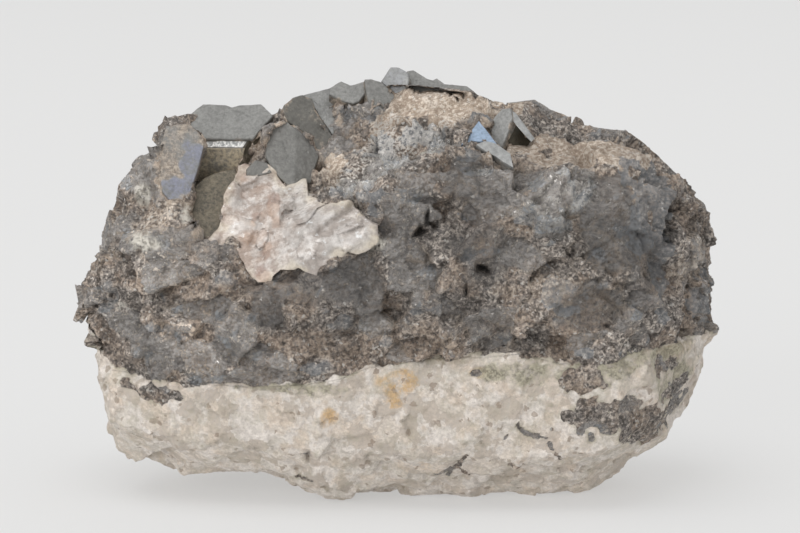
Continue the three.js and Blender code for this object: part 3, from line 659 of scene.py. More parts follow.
def dark_share(p):
    """How dark the ore is: half as dark in its dark patches as on its smooth facets."""
    dark = 0.5 * spots(p, DARK)
    for corners in DARK_FACES:
        far_in = edge_distance(corners, p[..., 0], p[..., 2]) + 0.7 * lumps(p, 2.2, 38)
        dark = np.maximum(dark, ease(far_in, -0.3, 0.4) * (p[..., 1] < FACET_REAR))
    return dark


def bent_and_squeezed(p):
    """Points moved about by smooth noise of two sizes, then squeezed."""
    far, size, seed = WARP
    bend = [lumps(p, size, n) + 0.4 * lumps(p, size / 3, n + 1) for n in (seed, seed + 2, seed + 4)]
    return (p + far * np.stack(bend, -1)) * SQUEEZE


def drawn_to_skyline(p):
    """Points that stand out beyond the skyline, as the camera sees it, brought back most of
    the way to it, at right angles to it."""
    x = p[..., 0]
    beyond = p[..., 2] + VIEW_TILT * p[..., 1] - along(SKYLINE, x)
    slope = along(SKYLINE, x + 0.5) - along(SKYLINE, x - 0.5)
    back = SKYLINE_SHARE * np.maximum(beyond, 0) / (1 + slope**2) * (np.abs(x) < SKYLINE_HALF)
    return p + np.stack([back * slope, 0 * back, -back], -1)


def skin(x, angle):
    """The stone's whole surface as a function of the place along X and the angle round it:
    the coarse skin moved by the ore's or the granite's fine relief and inwards by the pits.
    Gives the points and what the finishes need to know of them."""
    p, facing = coarse_skin(x, angle)
    wander = 1.1 * lumps(p, 6.5, 31) + 0.8 * lumps(p, 2.6, 32) + 0.5 * lumps(p, 1.2, 33)
    main_ore, ore = ore_share(p, above_contact(p, x, angle) + wander)
    dark, silver = dark_share(p) * ore, spots(p, SILVER, 0.4) * ore
    bent = bent_and_squeezed(p)
    plate_rise, plate_gap, plate = chip_faces(bent, **ORE_PLATES, edge=FINE_EDGE)
    chip_rise, chip_gap, chip = chip_faces(bent, **ORE_CHIPS, edge=FINE_EDGE)
    grit_rise, _, _ = chip_faces(p, **ORE_GRIT, edge=FINE_EDGE)
    granite_rise, _, grain = chip_faces(p, **GRANITE_CHIPS, edge=FINE_EDGE)
    broken = ease(lumps(p, 8.0, 34), -0.1, 0.5)
    seam = broken * (1 - ease(plate_gap, 0.02, 0.11))
    from_crystal, beside = crystal_edges(p)
    crust = (1 - ease(np.abs(from_crystal), 0.4, 2.2)) * ease(lumps(p, 2.4, 35), -0.3, 0.3)
    crest_share = 0.5 + 0.5 * ease(p[..., 2], 73, 80)
    tan = np.maximum(spots(p, TAN, 0.6) * crest_share, 0.7 * crust * (on_front(facing) > 0)) * ore
    calm = 1 - 0.7 * np.maximum(dark, 0.8 * tan)
    plate_rise = plate_rise * (1 - 0.5 * tan + 0.5 * silver - 0.7 * dark)
    ore_fine = plate_rise + calm * (0.4 + 0.6 * broken) * chip_rise + calm * grit_rise
    ore_fine = ore_fine - 0.25 * seam - ORE_SUNK
    granite_fine = granite_rise + sum(h * lumps(p, c, seed) for c, h, seed in GRANITE_LUMPS)
    granite_fine = granite_fine - GRANITE_SUNK + 0.6 * ore * grit_rise
    fine = main_ore * ore_fine + (1 - main_ore) * granite_fine
    pit, pit_painted_shade = gouges(p, facing)
    off_nodule = 1 - ease(edge_distance(NODULE, p[..., 0], p[..., 2]), -2, 0)
    bank = (1 - ease(from_crystal, 0.4, BANK_REACH)) * off_nodule
    bank = bank * (on_front(facing) > 0.05) * (p[..., 1] < BESIDE_REAR)
    banked = beside - BANK_WAVE * lumps(p, 3.6, 37)
    p[..., 1] += np.clip(banked - p[..., 1], -MOST_BANK, 0) * bank
    p = behind_crystals(p + facing * (fine - pit)[..., None], facing)
    p = np.clip(drawn_to_skyline(p), CAD_LOW, CAD_HIGH)
    height = fine + ORE_SUNK * main_ore + GRANITE_SUNK * (1 - main_ore)
    looks = {
        "ore": ore,
        "plate": plate,
        "chip": np.where(ore > 0.5, chip, grain),
        "seam": np.maximum(seam * ore, 0.35 * broken * ore * (1 - ease(chip_gap, 0.03, 0.15))),
        "dark": dark,
        "silver": silver,
        "tan": tan,
        "blue": spots(p, BLUE, 0.4) * ore,
        "pale": spots(p, PALE, 0.35),
        "ochre": spots(p, OCHRE, 0.5),
        "olive": spots(p, OLIVE, 0.6),
        # light: painted light, paler where more light falls on the ore
        "light": spots(p, PAINTED_LIGHT, 0.5),
        # low: painted shade, darker in the low places of the relief
        "low": np.clip(0.5 - 0.7 * (height - 0.5 * plate_rise * main_ore), 0, 1),
        # pit: painted shade in the pits, the cracks and the hollow between the crystals
        "pit": pit_painted_shade,
    }
    return p, looks


def contact_angle(x, line):
    """Angle from the ring's middle to the front's contact line, by the superellipse."""
    top, bottom = along(TOP_LINE, x), along(BOTTOM_LINE, x)
    share = np.clip((along(line, x) - (top + bottom) / 2) / ((top - bottom) / 2), -1, 1)
    side = (1 - np.abs(share) ** SQUARENESS) ** (1 / SQUARENESS)
    return np.arctan2(share, side)


def even_places(count):
    """X of each ring from end to end, closer together where the outline is steep."""
    x = np.linspace(LEFT, RIGHT, 1500)
    lines = [along(line, x) for line in (TOP_LINE, BOTTOM_LINE, FRONT_LINE, BACK_LINE)]
    runs = [np.hypot(np.diff(x), 0.6 * np.diff(line)) for line in lines]
    length = np.concatenate([[0], np.cumsum(np.max(runs, 0))])
    return np.interp(np.linspace(0, length[-1], count), length, x)


def even_angles(x, start, end, count, front_share):
    """Angles (len(x), count) from start to end at even steps of skin length, where a
    millimetre of the front counts for front_share millimetres of the rest."""
    share = np.linspace(0, 1, 500)
    angle = start[:, None] + (end - start)[:, None] * share
    p = smooth_skin(x[:, None] + 0 * angle, angle)
    step = np.linalg.norm(np.diff(p, axis=1), axis=-1) + 1e-6
    step = step * np.where(p[:, 1:, 1] < CREST_Y, front_share, 1)
    length = np.concatenate([np.zeros((len(x), 1)), np.cumsum(step, 1)], 1)
    row = np.arange(len(x))[:, None]
    length = 0.999 * length / length[:, -1:] + row
    want = 0.999 * np.linspace(0, 1, count) + row
    return np.interp(want.ravel(), length.ravel(), angle.ravel()).reshape(len(x), count)


# Meshes


def closed_tube(points):
    """Faces of a tube whose rings (rows) are closed and whose two ends are closed by fans.
    Two end points follow the ring points: first the start's, then the end's."""
    rows, columns = points.shape[:2]
    index = np.arange(rows * columns).reshape(rows, columns)
    across = np.roll(index, -1, 1)
    a, b, c, d = index[:-1], across[:-1], index[1:], across[1:]
    quads = np.stack([a, c, d, b], -1).reshape(-1, 4)
    start, end = rows * columns, rows * columns + 1
    caps = [
        np.stack([np.full(columns, start), index[0], across[0]], -1),
        np.stack([np.full(columns, end), across[-1], index[-1]], -1),
    ]
    return quads, np.concatenate(caps)


def mesh_piece(name, vertices, quads, triangles, values, material, crisp=None):
    """A smooth-shaded mesh object at the origin, from points in millimetres, which rides on
    the stone's body. values are named numbers of each vertex. An edge is sharp where its two
    vertices have the same number above 0 in either column of crisp."""
    mesh = bpy.data.meshes.new(name)
    faces = [quads.tolist(), triangles.tolist()]
    mesh.from_pydata((vertices * MM).tolist(), [], faces[0] + faces[1])
    mesh.polygons.foreach_set("use_smooth", np.ones(len(mesh.polygons), bool))
    if crisp is not None:
        ends = np.empty(2 * len(mesh.edges), np.int64)
        mesh.edges.foreach_get("vertices", ends)
        first, second = crisp[ends[0::2]], crisp[ends[1::2]]
        sharp = ((first == second) & (first > 0)).any(-1)
        layer = mesh.attributes.new("sharp_edge", "BOOLEAN", "EDGE")
        layer.data.foreach_set("value", sharp)
    for key, numbers in values.items():
        layer = mesh.attributes.new(key, "FLOAT", "POINT")
        layer.data.foreach_set("value", np.asarray(numbers, np.float32).ravel())
    mesh.materials.append(material)
    mesh.update()
    piece = bpy.data.objects.new(name, mesh)
    bpy.context.collection.objects.link(piece)
    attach(piece, "root")
    return piece


def skin_piece(name, upper, rings, columns, material):
    """One stretch of the skin: the ore above the contact line or the granite below it, with
    a wall inside the stone from contact to contact."""
    x = even_places(rings)
    front, back = contact_angle(x, FRONT_CONTACT), contact_angle(x, BACK_CONTACT)
    if upper:
        angle = even_angles(x, front, math.pi - back, columns, 1.7)
    else:
        angle = even_angles(x, math.pi - back, 2 * math.pi + front, columns, 1.7)
    p, looks = skin(x[:, None] + 0 * angle, angle)
    share = np.array([0.15, 0.5, 0.85])[None, :, None]
    wall = p[:, -1:] * (1 - share) + p[:, :1] * share
    wall[..., 2] += 0.5 if upper else -0.5
    ring = np.concatenate([p, wall], 1)
    ends = np.array([ring[0].mean(0), ring[-1].mean(0)])
    vertices = np.concatenate([ring.reshape(-1, 3), ends])
    values = {}
    for key, numbers in looks.items():
        padded = np.concatenate([numbers, np.repeat(numbers[:, -1:], 3, 1)], 1).ravel()
        values[key] = np.concatenate([padded, [numbers[0].mean(), numbers[-1].mean()]])
    quads, caps = closed_tube(ring)
    return mesh_piece(name, vertices, quads, caps, values, material)


def carved(corners, spacing):
    """Points along the sides of a closed polygon, about spacing apart, and which of them are
    its corners, numbered from 1."""
    sides = np.roll(corners, -1, 0) - corners
    counts = np.maximum(2, np.round(np.linalg.norm(sides, axis=-1) / spacing)).astype(int)
    runs = [a + s * np.linspace(0, 1, n, endpoint=False)[:, None]
            for a, s, n in zip(corners, sides, counts)]
    numbers = np.zeros(counts.sum(), int)
    numbers[np.cumsum(counts) - counts] = 1 + np.arange(len(corners))
    return np.concatenate(runs), numbers


def flat_crystal(shape, looks, spacing, wear, roughness):
    """Grid of a crystal with a flat face. Round it: the face's outline, side by side. Out
    from the middle: over the face, over the bevel, then back along the side. wear draws the
    edges in at random places, and roughness is the height of the bumps on the face. Gives
    the points, the faces, what the finish needs to know and the numbers of the sharp edges."""
    face = np.array(shape["face"], float)
    lean = np.array(shape["lean"], float)
    middle = face.mean(0)
    facing = unit([-looks * lean[0], looks, -looks * lean[1]])
    y = shape["y"] + (face - middle) @ lean
    corner = np.stack([face[:, 0], y, face[:, 1]], -1)
    centre = np.array([middle[0], shape["y"], middle[1]])
    edge, numbers = carved(corner, spacing)
    rim = edge + (unit(edge - centre) - facing) * shape["bevel"]
    back = rim - facing * shape["deep"]
    count = max(4, int(np.linalg.norm(corner - centre, axis=-1).max() / spacing))
    out = np.linspace(1 / count, 1, count)
    rows = [centre + (edge - centre) * t for t in out]
    rows += [edge + (rim - edge) * t for t in (0.5, 1)]
    sides = int(shape["deep"] / spacing / 1.6)
    rows += [rim + (back - rim) * t for t in np.linspace(0, 1, sides)[1:]]
    grid = np.array(rows)
    level, column = np.indices(grid.shape[:2])
    ring_number = np.where(level == count - 1, 1, 0) + np.where(level == count + 1, 2, 0)
    side_number = numbers[column] * (level >= count - 1)
    if looks == BACK:
        grid, side_number = grid[:, ::-1], side_number[:, ::-1]
    near_edge = np.exp(-((level - count) / 2.2) ** 2)
    worn = near_edge * np.clip(lumps(grid, 2.2, 97) + 0.7 * lumps(grid, 0.9, 98), 0, 1)
    grid = grid + unit(centre - facing * 2 - grid) * (wear * worn)[..., None]
    bumps = 0.7 * lumps(grid, 3.1, 95) + 0.35 * lumps(grid, 1.0, 96)
    bumps = bumps + chip_faces(grid, 4.2, 0.14, 99, 1.4, FINE_EDGE)[0]
    grid = grid + facing * (roughness * bumps)[..., None]
    grid[..., 1] += face_depth(shape, grid) - face_depth({**shape, "fold": (0, 0)}, grid)
    top = centre + facing * (roughness * bumps[0].mean())
    quads, caps = closed_tube(grid)
    vertices = np.concatenate([grid.reshape(-1, 3), [top, grid[-1].mean(0)]])
    crisp = np.stack([ring_number.ravel(), side_number.ravel()], -1)
    crisp = np.concatenate([crisp, np.zeros((2, 2), int)])
    vertices = np.clip(vertices, CAD_LOW, CAD_HIGH)
    side = np.append((level > count + 1).ravel(), [0, 0])
    values = {
        "worn": np.append(worn.ravel(), [0, 0]),
        # The sides get a lower tone, shade painted on the walls that go back into the stone, and more
        # crust
        "tone": shape.get("tone", 0.5) - 0.25 * side,
        "dust": shape.get("dust", 0.3) + 0.4 * side,
        "blue": shape.get("blue", 0.0) * spots(vertices, SHEEN, 0.6),
        "gold": shape.get("gold", 0.0) * (1 - side),
    }
    return vertices, quads, caps, values, crisp


def crystal_piece(name, shapes, looks, material, spacing, wear, roughness):
    """Several crystals as one piece, each a closed shell."""
    parts = [flat_crystal(shape, looks, spacing, wear, roughness) for shape in shapes]
    starts = np.cumsum([0] + [len(part[0]) for part in parts])
    quads = np.concatenate([part[1] + start for part, start in zip(parts, starts)])
    caps = np.concatenate([part[2] + start for part, start in zip(parts, starts)])
    values = {key: np.concatenate([part[3][key] for part in parts]) for key in parts[0][3]}
    vertices = np.concatenate([part[0] for part in parts])
    crisp = np.concatenate([part[4] for part in parts])
    return mesh_piece(name, vertices, quads, caps, values, material, crisp)


def front_depth(x, z):
    """Depth of the coarse skin's front at places (x, z), by halving the span of angles."""
    low, high = (np.full(x.shape, limit) for limit in FRONT_ANGLES)
    for _ in range(HALVINGS):
        angle = (low + high) / 2
        above = coarse_skin(x, angle)[0][..., 2] > z
        low, high = np.where(above, low, angle), np.where(above, angle, high)
    return coarse_skin(x, (low + high) / 2)[0][..., 1]


def nodule_piece(spacing):
    """The nodule as a grid: round its outline and out from its middle. It lies on the front
    of the skin and stands out from it, more in the middle than at its edge, with cleavage
    faces; its sides go back into the stone."""
    edge, _ = carved(np.array(NODULE, float), spacing)
    flat_edge = np.stack([edge[:, 0], 0 * edge[:, 0], edge[:, 1]], -1)
    edge = edge + 0.5 * np.stack([lumps(flat_edge, 1.6, seed) for seed in (144, 145)], -1)
    middle = np.array(NODULE_MIDDLE)
    count = int(NODULE_REACH / spacing)
    out = np.linspace(1 / count, 1, count)[:, None, None]
    flat = middle + (edge - middle) * out
    x, z = flat[..., 0], flat[..., 1]
    inward = edge_distance(NODULE, x, z)
    rise = 0.6 + (NODULE_RISE - 0.6) * ease(inward, -1, 6)
    y = front_depth(x, z)
    p = np.stack([x, y, z], -1)
    face_rise, face_gap, face = chip_faces(p, **NODULE_CHIPS, edge=NODULE_EDGE)
    grain_rise, _, grain = chip_faces(p, **NODULE_GRAINS, edge=NODULE_EDGE)
    bumps = face_rise + 0.8 * grain_rise
    p[..., 1] -= rise + bumps * np.clip(inward / 1.5, 0.25, 1)
    sides = [p[-1] + [0, depth, 0] for depth in NODULE_SIDES]
    grid = np.concatenate([p, sides])
    own = {"face": face, "grain": grain, "seam": 1 - ease(face_gap, 0.02, 0.1),
           "rim": 1 - ease(inward + lumps(p, 2.5, 142), 0.0, 2.4)}
    top = p[0].mean(0)
    vertices = np.concatenate([grid.reshape(-1, 3), [top, grid[-1].mean(0)]])
    values = {}
    for key, numbers in own.items():
        padded = np.concatenate([numbers, np.repeat(numbers[-1:], len(sides), 0)]).ravel()
        values[key] = np.append(padded, [0.5, 0.5])
    values["stain"] = spots(vertices, STAINS, 0.5)
    values["grey"] = spots(vertices, NODULE_GREY, 0.5)
    values["warm"] = 1 - ease(vertices[:, 0] + 2 * lumps(vertices, 4.0, 143), -29, -20)
    quads, caps = closed_tube(grid)
    return mesh_piece("feldspar_nodule", np.clip(vertices, CAD_LOW, CAD_HIGH), quads, caps,
                      values, feldspar_finish("feldspar"))


# Pink and orange stains of the nodule and its greyer glassy patches, as the patches above
STAINS = [
    [-34, -28, 73, 1.4, 9, 1.8], [-27.8, -29, 70.4, 1.2, 9, 2.4], [-26.6, -31, 67.8, 1.6, 9, 3],
    [-32.5, -33, 61.5, 2, 9, 1.6], [-28, -34, 59.5, 1.2, 9, 1.6], [-31.5, -34, 65.5, 3.4, 9, 3.4],
    [-29, -36, 54, 2.6, 9, 1.8],
]
NODULE_GREY = [
    [-31, -33, 64, 4, 9, 3.6], [-18.5, -37, 66, 2, 9, 3], [-22, -37, 62, 3, 9, 3],
    [-9, -38, 63, 2.6, 9, 2], [-15, -38, 60, 2.4, 9, 1.6], [-34.5, -31, 70, 1.6, 9, 2.4],
]


# Finishes


class Wire:
    """An output of a node. Sums, differences and products of wires and numbers add Math
    nodes."""

    def __init__(self, finish, socket):
        self.finish = finish
        self.socket = socket

    def math(self, operation, first, second):
        return self.finish.add("ShaderNodeMath", {"operation": operation}, {0: first, 1: second})

    def __add__(self, other):
        return self.math("ADD", self, other)

    def __sub__(self, other):
        return self.math("SUBTRACT", self, other)

    def __rsub__(self, other):
        return self.math("SUBTRACT", other, self)

    def __mul__(self, other):
        return self.math("MULTIPLY", self, other)

    __radd__ = __add__
    __rmul__ = __mul__


class Finish:
    """A material and its nodes. add() makes any node and gives back one of its outputs."""

    def __init__(self, name):
        self.material = bpy.data.materials.new(name)
        self.material.use_nodes = True
        self.tree = self.material.node_tree
        self.tree.nodes.clear()
        self.place = self.add("ShaderNodeTexCoord", out="Object")

    def add(self, kind, settings=None, values=None, out=0):
        node = self.tree.nodes.new(kind)
        for key, value in (settings or {}).items():
            setattr(node, key, value)
        for key, value in (values or {}).items():
            if isinstance(value, Wire):
                self.tree.links.new(value.socket, node.inputs[key])
            else:
                node.inputs[key].default_value = value
        return Wire(self, node.outputs[out])

    def value(self, name):
        """A named number of the mesh's vertices."""
        return self.add("ShaderNodeAttribute", {"attribute_name": name}, out="Fac")

    def noise(self, size, detail=3.0, place=None, roughness=0.55, out=0):
        """Noise with features of a size in millimetres."""
        return self.add("ShaderNodeTexNoise", {}, {
            "Vector": place or self.place, "Scale": 1 / (size * MM), "Detail": detail,
            "Roughness": roughness}, out)

    def cells(self, size, place=None, out="Distance"):
        """Cells of a size in millimetres: their distance, or a random colour for each."""
        return self.add("ShaderNodeTexVoronoi", {"feature": "F1"}, {
            "Vector": place or self.place, "Scale": 1 / (size * MM)}, out)

    def one(self, colour, channel=0):
        """One channel of a random colour, as a number."""
        return self.add("ShaderNodeSeparateColor", {}, {0: colour}, channel)

    def warped(self, size, amount):
        """Object coordinates moved about by noise of that size, by up to amount mm."""
        stray = self.noise(size, 2.0, out="Color")
        moved = self.add("ShaderNodeVectorMath", {"operation": "SUBTRACT"}, {
            0: stray, 1: (0.5, 0.5, 0.5)})
        moved = self.add("ShaderNodeVectorMath", {"operation": "SCALE"}, {
            0: moved, "Scale": 2 * amount * MM})
        return self.add("ShaderNodeVectorMath", {"operation": "ADD"}, {0: self.place, 1: moved})

    def ease(self, value, low, high, start=0.0, end=1.0):
        """start below low, end above high and a smooth S between them."""
        return self.add("ShaderNodeMapRange", {"interpolation_type": "SMOOTHSTEP"}, {
            "Value": value, "From Min": low, "From Max": high, "To Min": start, "To Max": end})

    def mix(self, factor, first, second, blend="MIX"):
        """Colours first and second, mixed by the factor."""
        first, second = (c if isinstance(c, Wire) else (*c, 1.0) for c in (first, second))
        return self.add("ShaderNodeMix", {"data_type": "RGBA", "blend_type": blend}, {
            0: factor, 6: first, 7: second}, 2)

    def shade(self, colour, value):
        """A colour times a number."""
        grey = self.add("ShaderNodeCombineColor", {}, {0: value, 1: value, 2: value})
        return self.mix(1.0, colour, grey, "MULTIPLY")

    def bump(self, height, depth, strength=1.0):
        """Normal of a surface with a height from 0 to 1 that stands for depth mm."""
        return self.add("ShaderNodeBump", {}, {
            "Strength": strength, "Distance": depth * MM, "Height": height})

    def close(self, **values):
        """Ends the material in one glossy surface with these values; _ stands for a space."""
        named = {key.replace("_", " "): value for key, value in values.items()}
        surface = self.add("ShaderNodeBsdfPrincipled", {}, named)
        output = self.tree.nodes.new("ShaderNodeOutputMaterial")
        self.tree.links.new(surface.socket, output.inputs["Surface"])
        return self.material


# Colours of the ore
GRAIN_DARK, GRAIN_GREY, GRAIN_LIGHT = (0.085, 0.075, 0.067), (0.23, 0.205, 0.185), (0.56, 0.5, 0.44)
RUST_BROWN, CRUST_TAN, CRUST_CREAM = (0.27, 0.195, 0.14), (0.47, 0.385, 0.305), (0.7, 0.635, 0.56)
SMOOTH_GREY, SMOOTH_BLUE, SILVER_GREY = (0.18, 0.173, 0.167), (0.2, 0.215, 0.23), (0.56, 0.54, 0.51)
# Colours of the granite, and of what lies on it
CREAM, WHITE, QUARTZ = (0.72, 0.64, 0.56), (0.79, 0.725, 0.665), (0.55, 0.475, 0.405)
SAND, OCHRE_STAIN, OLIVE_DUST = (0.7, 0.57, 0.45), (0.62, 0.4, 0.18), (0.42, 0.385, 0.29)
CHIP_WHITE, SUGAR_WHITE, CRUST_BROWN = (0.74, 0.7, 0.62), (0.9, 0.86, 0.81), (0.34, 0.265, 0.205)
# Colours on the crystals: the first is a highlight painted on the bright bevel strip
PAINTED_HIGHLIGHT, PALE_DIRT, GOLD_BROWN = (0.85, 0.84, 0.81), (0.4, 0.335, 0.27), (0.34, 0.285, 0.2)
# Colours of the nodule. The two tints multiply them, to the right and the left of it
CLEAR_SPAR, MILKY_SPAR, GLASSY_SPAR = (0.46, 0.395, 0.355), (0.7, 0.64, 0.6), (0.42, 0.375, 0.345)
CREAM_RIM, PINK_STAIN, ORANGE_STAIN = (0.64, 0.54, 0.41), (0.43, 0.3, 0.25), (0.52, 0.39, 0.3)
SPARKLE, COOL_TINT, WARM_TINT = (0.82, 0.81, 0.8), (0.95, 0.98, 0.99), (0.9, 0.825, 0.77)


def ore_colours(f):
    """(colour, roughness, metallic, height) of the ore: dark, grey and light grains under a
    millimetre across, in plates of which some are smooth and grey or bluish, with brown
    seams, tan crust and a few glints."""
    grit = f.noise(1.0, 6.0, roughness=0.76)
    drawn = f.add("ShaderNodeVectorMath", {"operation": "MULTIPLY"}, {
        0: f.warped(7.0, 4.0), 1: (0.3, 1.0, 1.2)})
    streak = f.noise(0.9, 4.0, drawn, 0.65)
    speck = f.one(f.cells(0.55, f.warped(0.6, 0.3), out="Color"))
    cloud, region = f.noise(6.0, 5.0), f.noise(23, 3.0)
    plate, chip = f.value("plate"), f.value("chip")
    silver, dark, tan = f.value("silver"), f.value("dark"), f.value("tan")
    grain = grit + (speck - 0.5) * 0.22 + (chip - 0.5) * 0.07
    colour = f.mix(f.ease(grain, 0.4, 0.48), GRAIN_DARK, GRAIN_GREY)
    colour = f.mix(f.ease(grain + silver * 0.05, 0.54, 0.63), colour, GRAIN_LIGHT)
    brown = f.ease(cloud + region * 0.6 - plate * 0.1, 0.66, 0.92, 0, 0.6)
    colour = f.mix(brown * f.ease(grit, 0.36, 0.56), colour, RUST_BROWN)
    colour = f.mix(brown * f.ease(grain, 0.5, 0.62) * 0.7, colour, CRUST_TAN)
    smooth = f.ease(plate + silver * 0.2 - cloud * 0.3, 0.5, 0.58)
    smooth = smooth + dark - smooth * dark
    smooth = smooth * f.ease(grain - dark * 0.05, 0.68, 0.52)
    colour = f.mix(smooth * 0.6, colour, f.shade(SMOOTH_GREY, f.ease(streak, 0.4, 0.6, 0.62, 1.55)))
    sheen = f.ease(chip + f.value("blue") * 0.8 + silver * 0.4 - cloud * 0.4, 0.66, 0.8)
    colour = f.mix(sheen * 0.6, colour, SMOOTH_BLUE)
    crust = f.ease(tan + grit * 0.9 - 0.45, 0.3, 0.75)
    colour = f.mix(crust * 0.85, colour, f.mix(f.ease(grain, 0.38, 0.54), CRUST_BROWN, CRUST_TAN))
    colour = f.mix(crust * f.ease(grain, 0.5, 0.62) * 0.65, colour, CRUST_CREAM)
    bright = silver * f.ease(grain + chip * 0.1, 0.5, 0.58)
    glint = f.ease(speck + silver * 0.12, 0.955, 0.985)
    colour = f.mix(f.ease(bright * 0.7 + glint, 0.0, 1.0) * 0.7, colour, SILVER_GREY)
    colour = f.mix(f.value("seam") * f.ease(grit, 0.4, 0.55) * 0.5, colour, CRUST_TAN)
    colour = f.shade(colour, f.ease(plate, 0.1, 0.9, 0.94, 1.2) - dark * 0.32)
    # Painted light: paler where more light falls on the ore's left side and crest
    colour = f.shade(colour, 1.11 + f.value("light") * 0.42)
    colour = f.shade(colour, f.ease(region, 0.3, 0.7, 0.86, 1.14))
    height = grit * 0.7 + f.cells(0.9, f.warped(0.8, 0.4)) * 0.3
    height = height + f.cells(2.2, f.warped(1.5, 0.8)) * 0.3
    roughness = 0.74 - smooth * 0.2 - sheen * 0.12 - glint * 0.35 + crust * 0.1
    return colour, roughness, smooth * 0.25 + glint * 0.5 + 0.05, height * (1 - smooth * 0.6)


def granite_colours(f):
    """(colour, roughness, height) of the granite: cream and white feldspar with smoky quartz
    grains about 4 mm across, sandy and ochre stains, and flecks of dark mica."""
    mottle, sugar = f.noise(3.6, 7.0, roughness=0.66), f.noise(0.8, 5.0, roughness=0.7)
    grain = f.cells(3.8, f.warped(1.4, 1.4), out="Color")
    kind, tone = f.one(grain, 0), f.one(grain, 1)
    colour = f.mix(f.ease(mottle + (tone - 0.5) * 0.25, 0.42, 0.56), CREAM, WHITE)
    colour = f.mix(f.ease(f.noise(5.5, 6.0), 0.5, 0.62) * 0.5, colour, SAND)
    quartz = f.ease(kind + (mottle - 0.5) * 1.6, 0.34, 0.2)
    colour = f.mix(quartz * f.ease(sugar, 0.35, 0.6, 0.45, 0.9), colour, QUARTZ)
    colour = f.mix(f.ease(sugar, 0.58, 0.68) * (1 - quartz) * 0.35, colour, SUGAR_WHITE)
    stain = f.value("ochre") + f.ease(f.noise(12, 5.0), 0.66, 0.74) * 0.4
    colour = f.mix(stain * f.ease(mottle + sugar * 0.3, 0.5, 0.75) * 0.85, colour, OCHRE_STAIN)
    fleck = f.ease(f.one(f.cells(1.1, f.warped(0.8, 0.5), out="Color"), 2) + sugar * 0.02, 0.97, 0.985)
    colour = f.mix(fleck * 0.6, colour, RUST_BROWN)
    olive = f.value("olive") * f.ease(mottle + sugar * 0.3, 0.5, 0.7)
    colour = f.mix(olive * 0.95, colour, f.shade(OLIVE_DUST, f.ease(sugar, 0.4, 0.6, 0.6, 1.1)))
    colour = f.shade(colour, f.ease(sugar, 0.36, 0.64, 0.83, 1.1))
    return colour, 0.66 - quartz * 0.25, sugar * 0.6 + mottle * 0.5 + quartz * 0.1


def stone_finish(name):
    """Ore and granite in one finish, mixed by the ore value of each vertex."""
    f = Finish(name)
    share = f.value("ore") + (f.noise(1.5, 6.0, roughness=0.7) - 0.5) * 1.1
    ore = f.ease(share, 0.42, 0.58)
    ore_colour, ore_roughness, metallic, ore_height = ore_colours(f)
    pale_colour, pale_roughness, pale_height = granite_colours(f)
    fringe = f.ease(share, -0.25, 0.4) * f.ease(f.noise(5, 4.0), 0.4, 0.6)
    pale_colour = f.mix(fringe * 0.75, pale_colour, OLIVE_DUST)
    colour = f.mix(ore, pale_colour, ore_colour)
    colour = f.mix(f.value("pale") * f.ease(f.noise(1.6, 5.0), 0.36, 0.5) * ore * 0.85, colour,
                   CHIP_WHITE)
    # Painted shade: darker in the low places of the relief, more on the ore
    colour = f.shade(colour, 1.09 - f.value("low") * (0.18 + ore * 0.16))
    colour = f.shade(colour, 1 - f.value("seam") * 0.15)
    # Painted shade in the pits, the cracks and the hollow between the crystals
    colour = f.shade(colour, 1 - f.value("pit") * 0.75)
    return f.close(
        Base_Color=colour,
        Roughness=ore_roughness * ore + pale_roughness * (1 - ore),
        Metallic=metallic * ore,
        Normal=f.bump(ore_height * ore + pale_height * (1 - ore), 1.0, 0.9),
    )


def crystal_finish(name, dark, light, sheen, crust, metallic):
    """Satin crystal faces with fine growth lines, pitting, brown crust and worn edges."""
    f = Finish(name)
    cloud, grit = f.noise(4.5, 6.0, roughness=0.62), f.noise(0.8, 6.0, roughness=0.75)
    speck = f.one(f.cells(0.5, f.warped(0.6, 0.3), out="Color"))
    # Each face's tone gives its own colour together with the light and shade painted on it; tones
    # above 1 paint a highlight in grainy patches
    colour = f.mix(f.value("tone"), dark, light)
    colour = f.mix(f.ease(f.value("tone"), 1.0, 1.25) * f.ease(grit, 0.4, 0.6), colour,
                   PAINTED_HIGHLIGHT)
    colour = f.mix(f.value("blue") * f.ease(cloud + grit, 0.7, 1.2) * 0.75, colour, sheen)
    dust = f.ease(f.value("dust") * 0.55 + cloud * 0.6 + f.value("worn") * 0.3 + grit * 0.3
                  - f.value("blue") * 0.2, 0.66, 0.88)
    dirt = f.mix(f.ease(grit, 0.4, 0.6), crust, PALE_DIRT)
    colour = f.mix(dust * 0.8, colour, dirt)
    colour = f.mix(f.value("gold") * f.ease(grit + cloud * 0.5, 0.5, 0.9) * 0.9, colour,
                   GOLD_BROWN)
    colour = f.shade(colour, f.ease(grit + speck * 0.12, 0.42, 0.7, 0.84, 1.16))
    colour = f.shade(colour, f.ease(cloud, 0.36, 0.64, 0.9, 1.08))
    pits = f.ease(f.cells(1.7, f.warped(1.0, 0.6)), 0.04, 0.24)
    return f.close(
        Base_Color=colour,
        Roughness=f.ease(cloud, 0.3, 0.7, 0.34, 0.5) + dust * 0.3,
        Metallic=metallic * (1 - dust),
        Normal=f.bump(grit * 0.6 + pits * 0.3 + cloud * 0.5, 0.45, 0.75),
    )


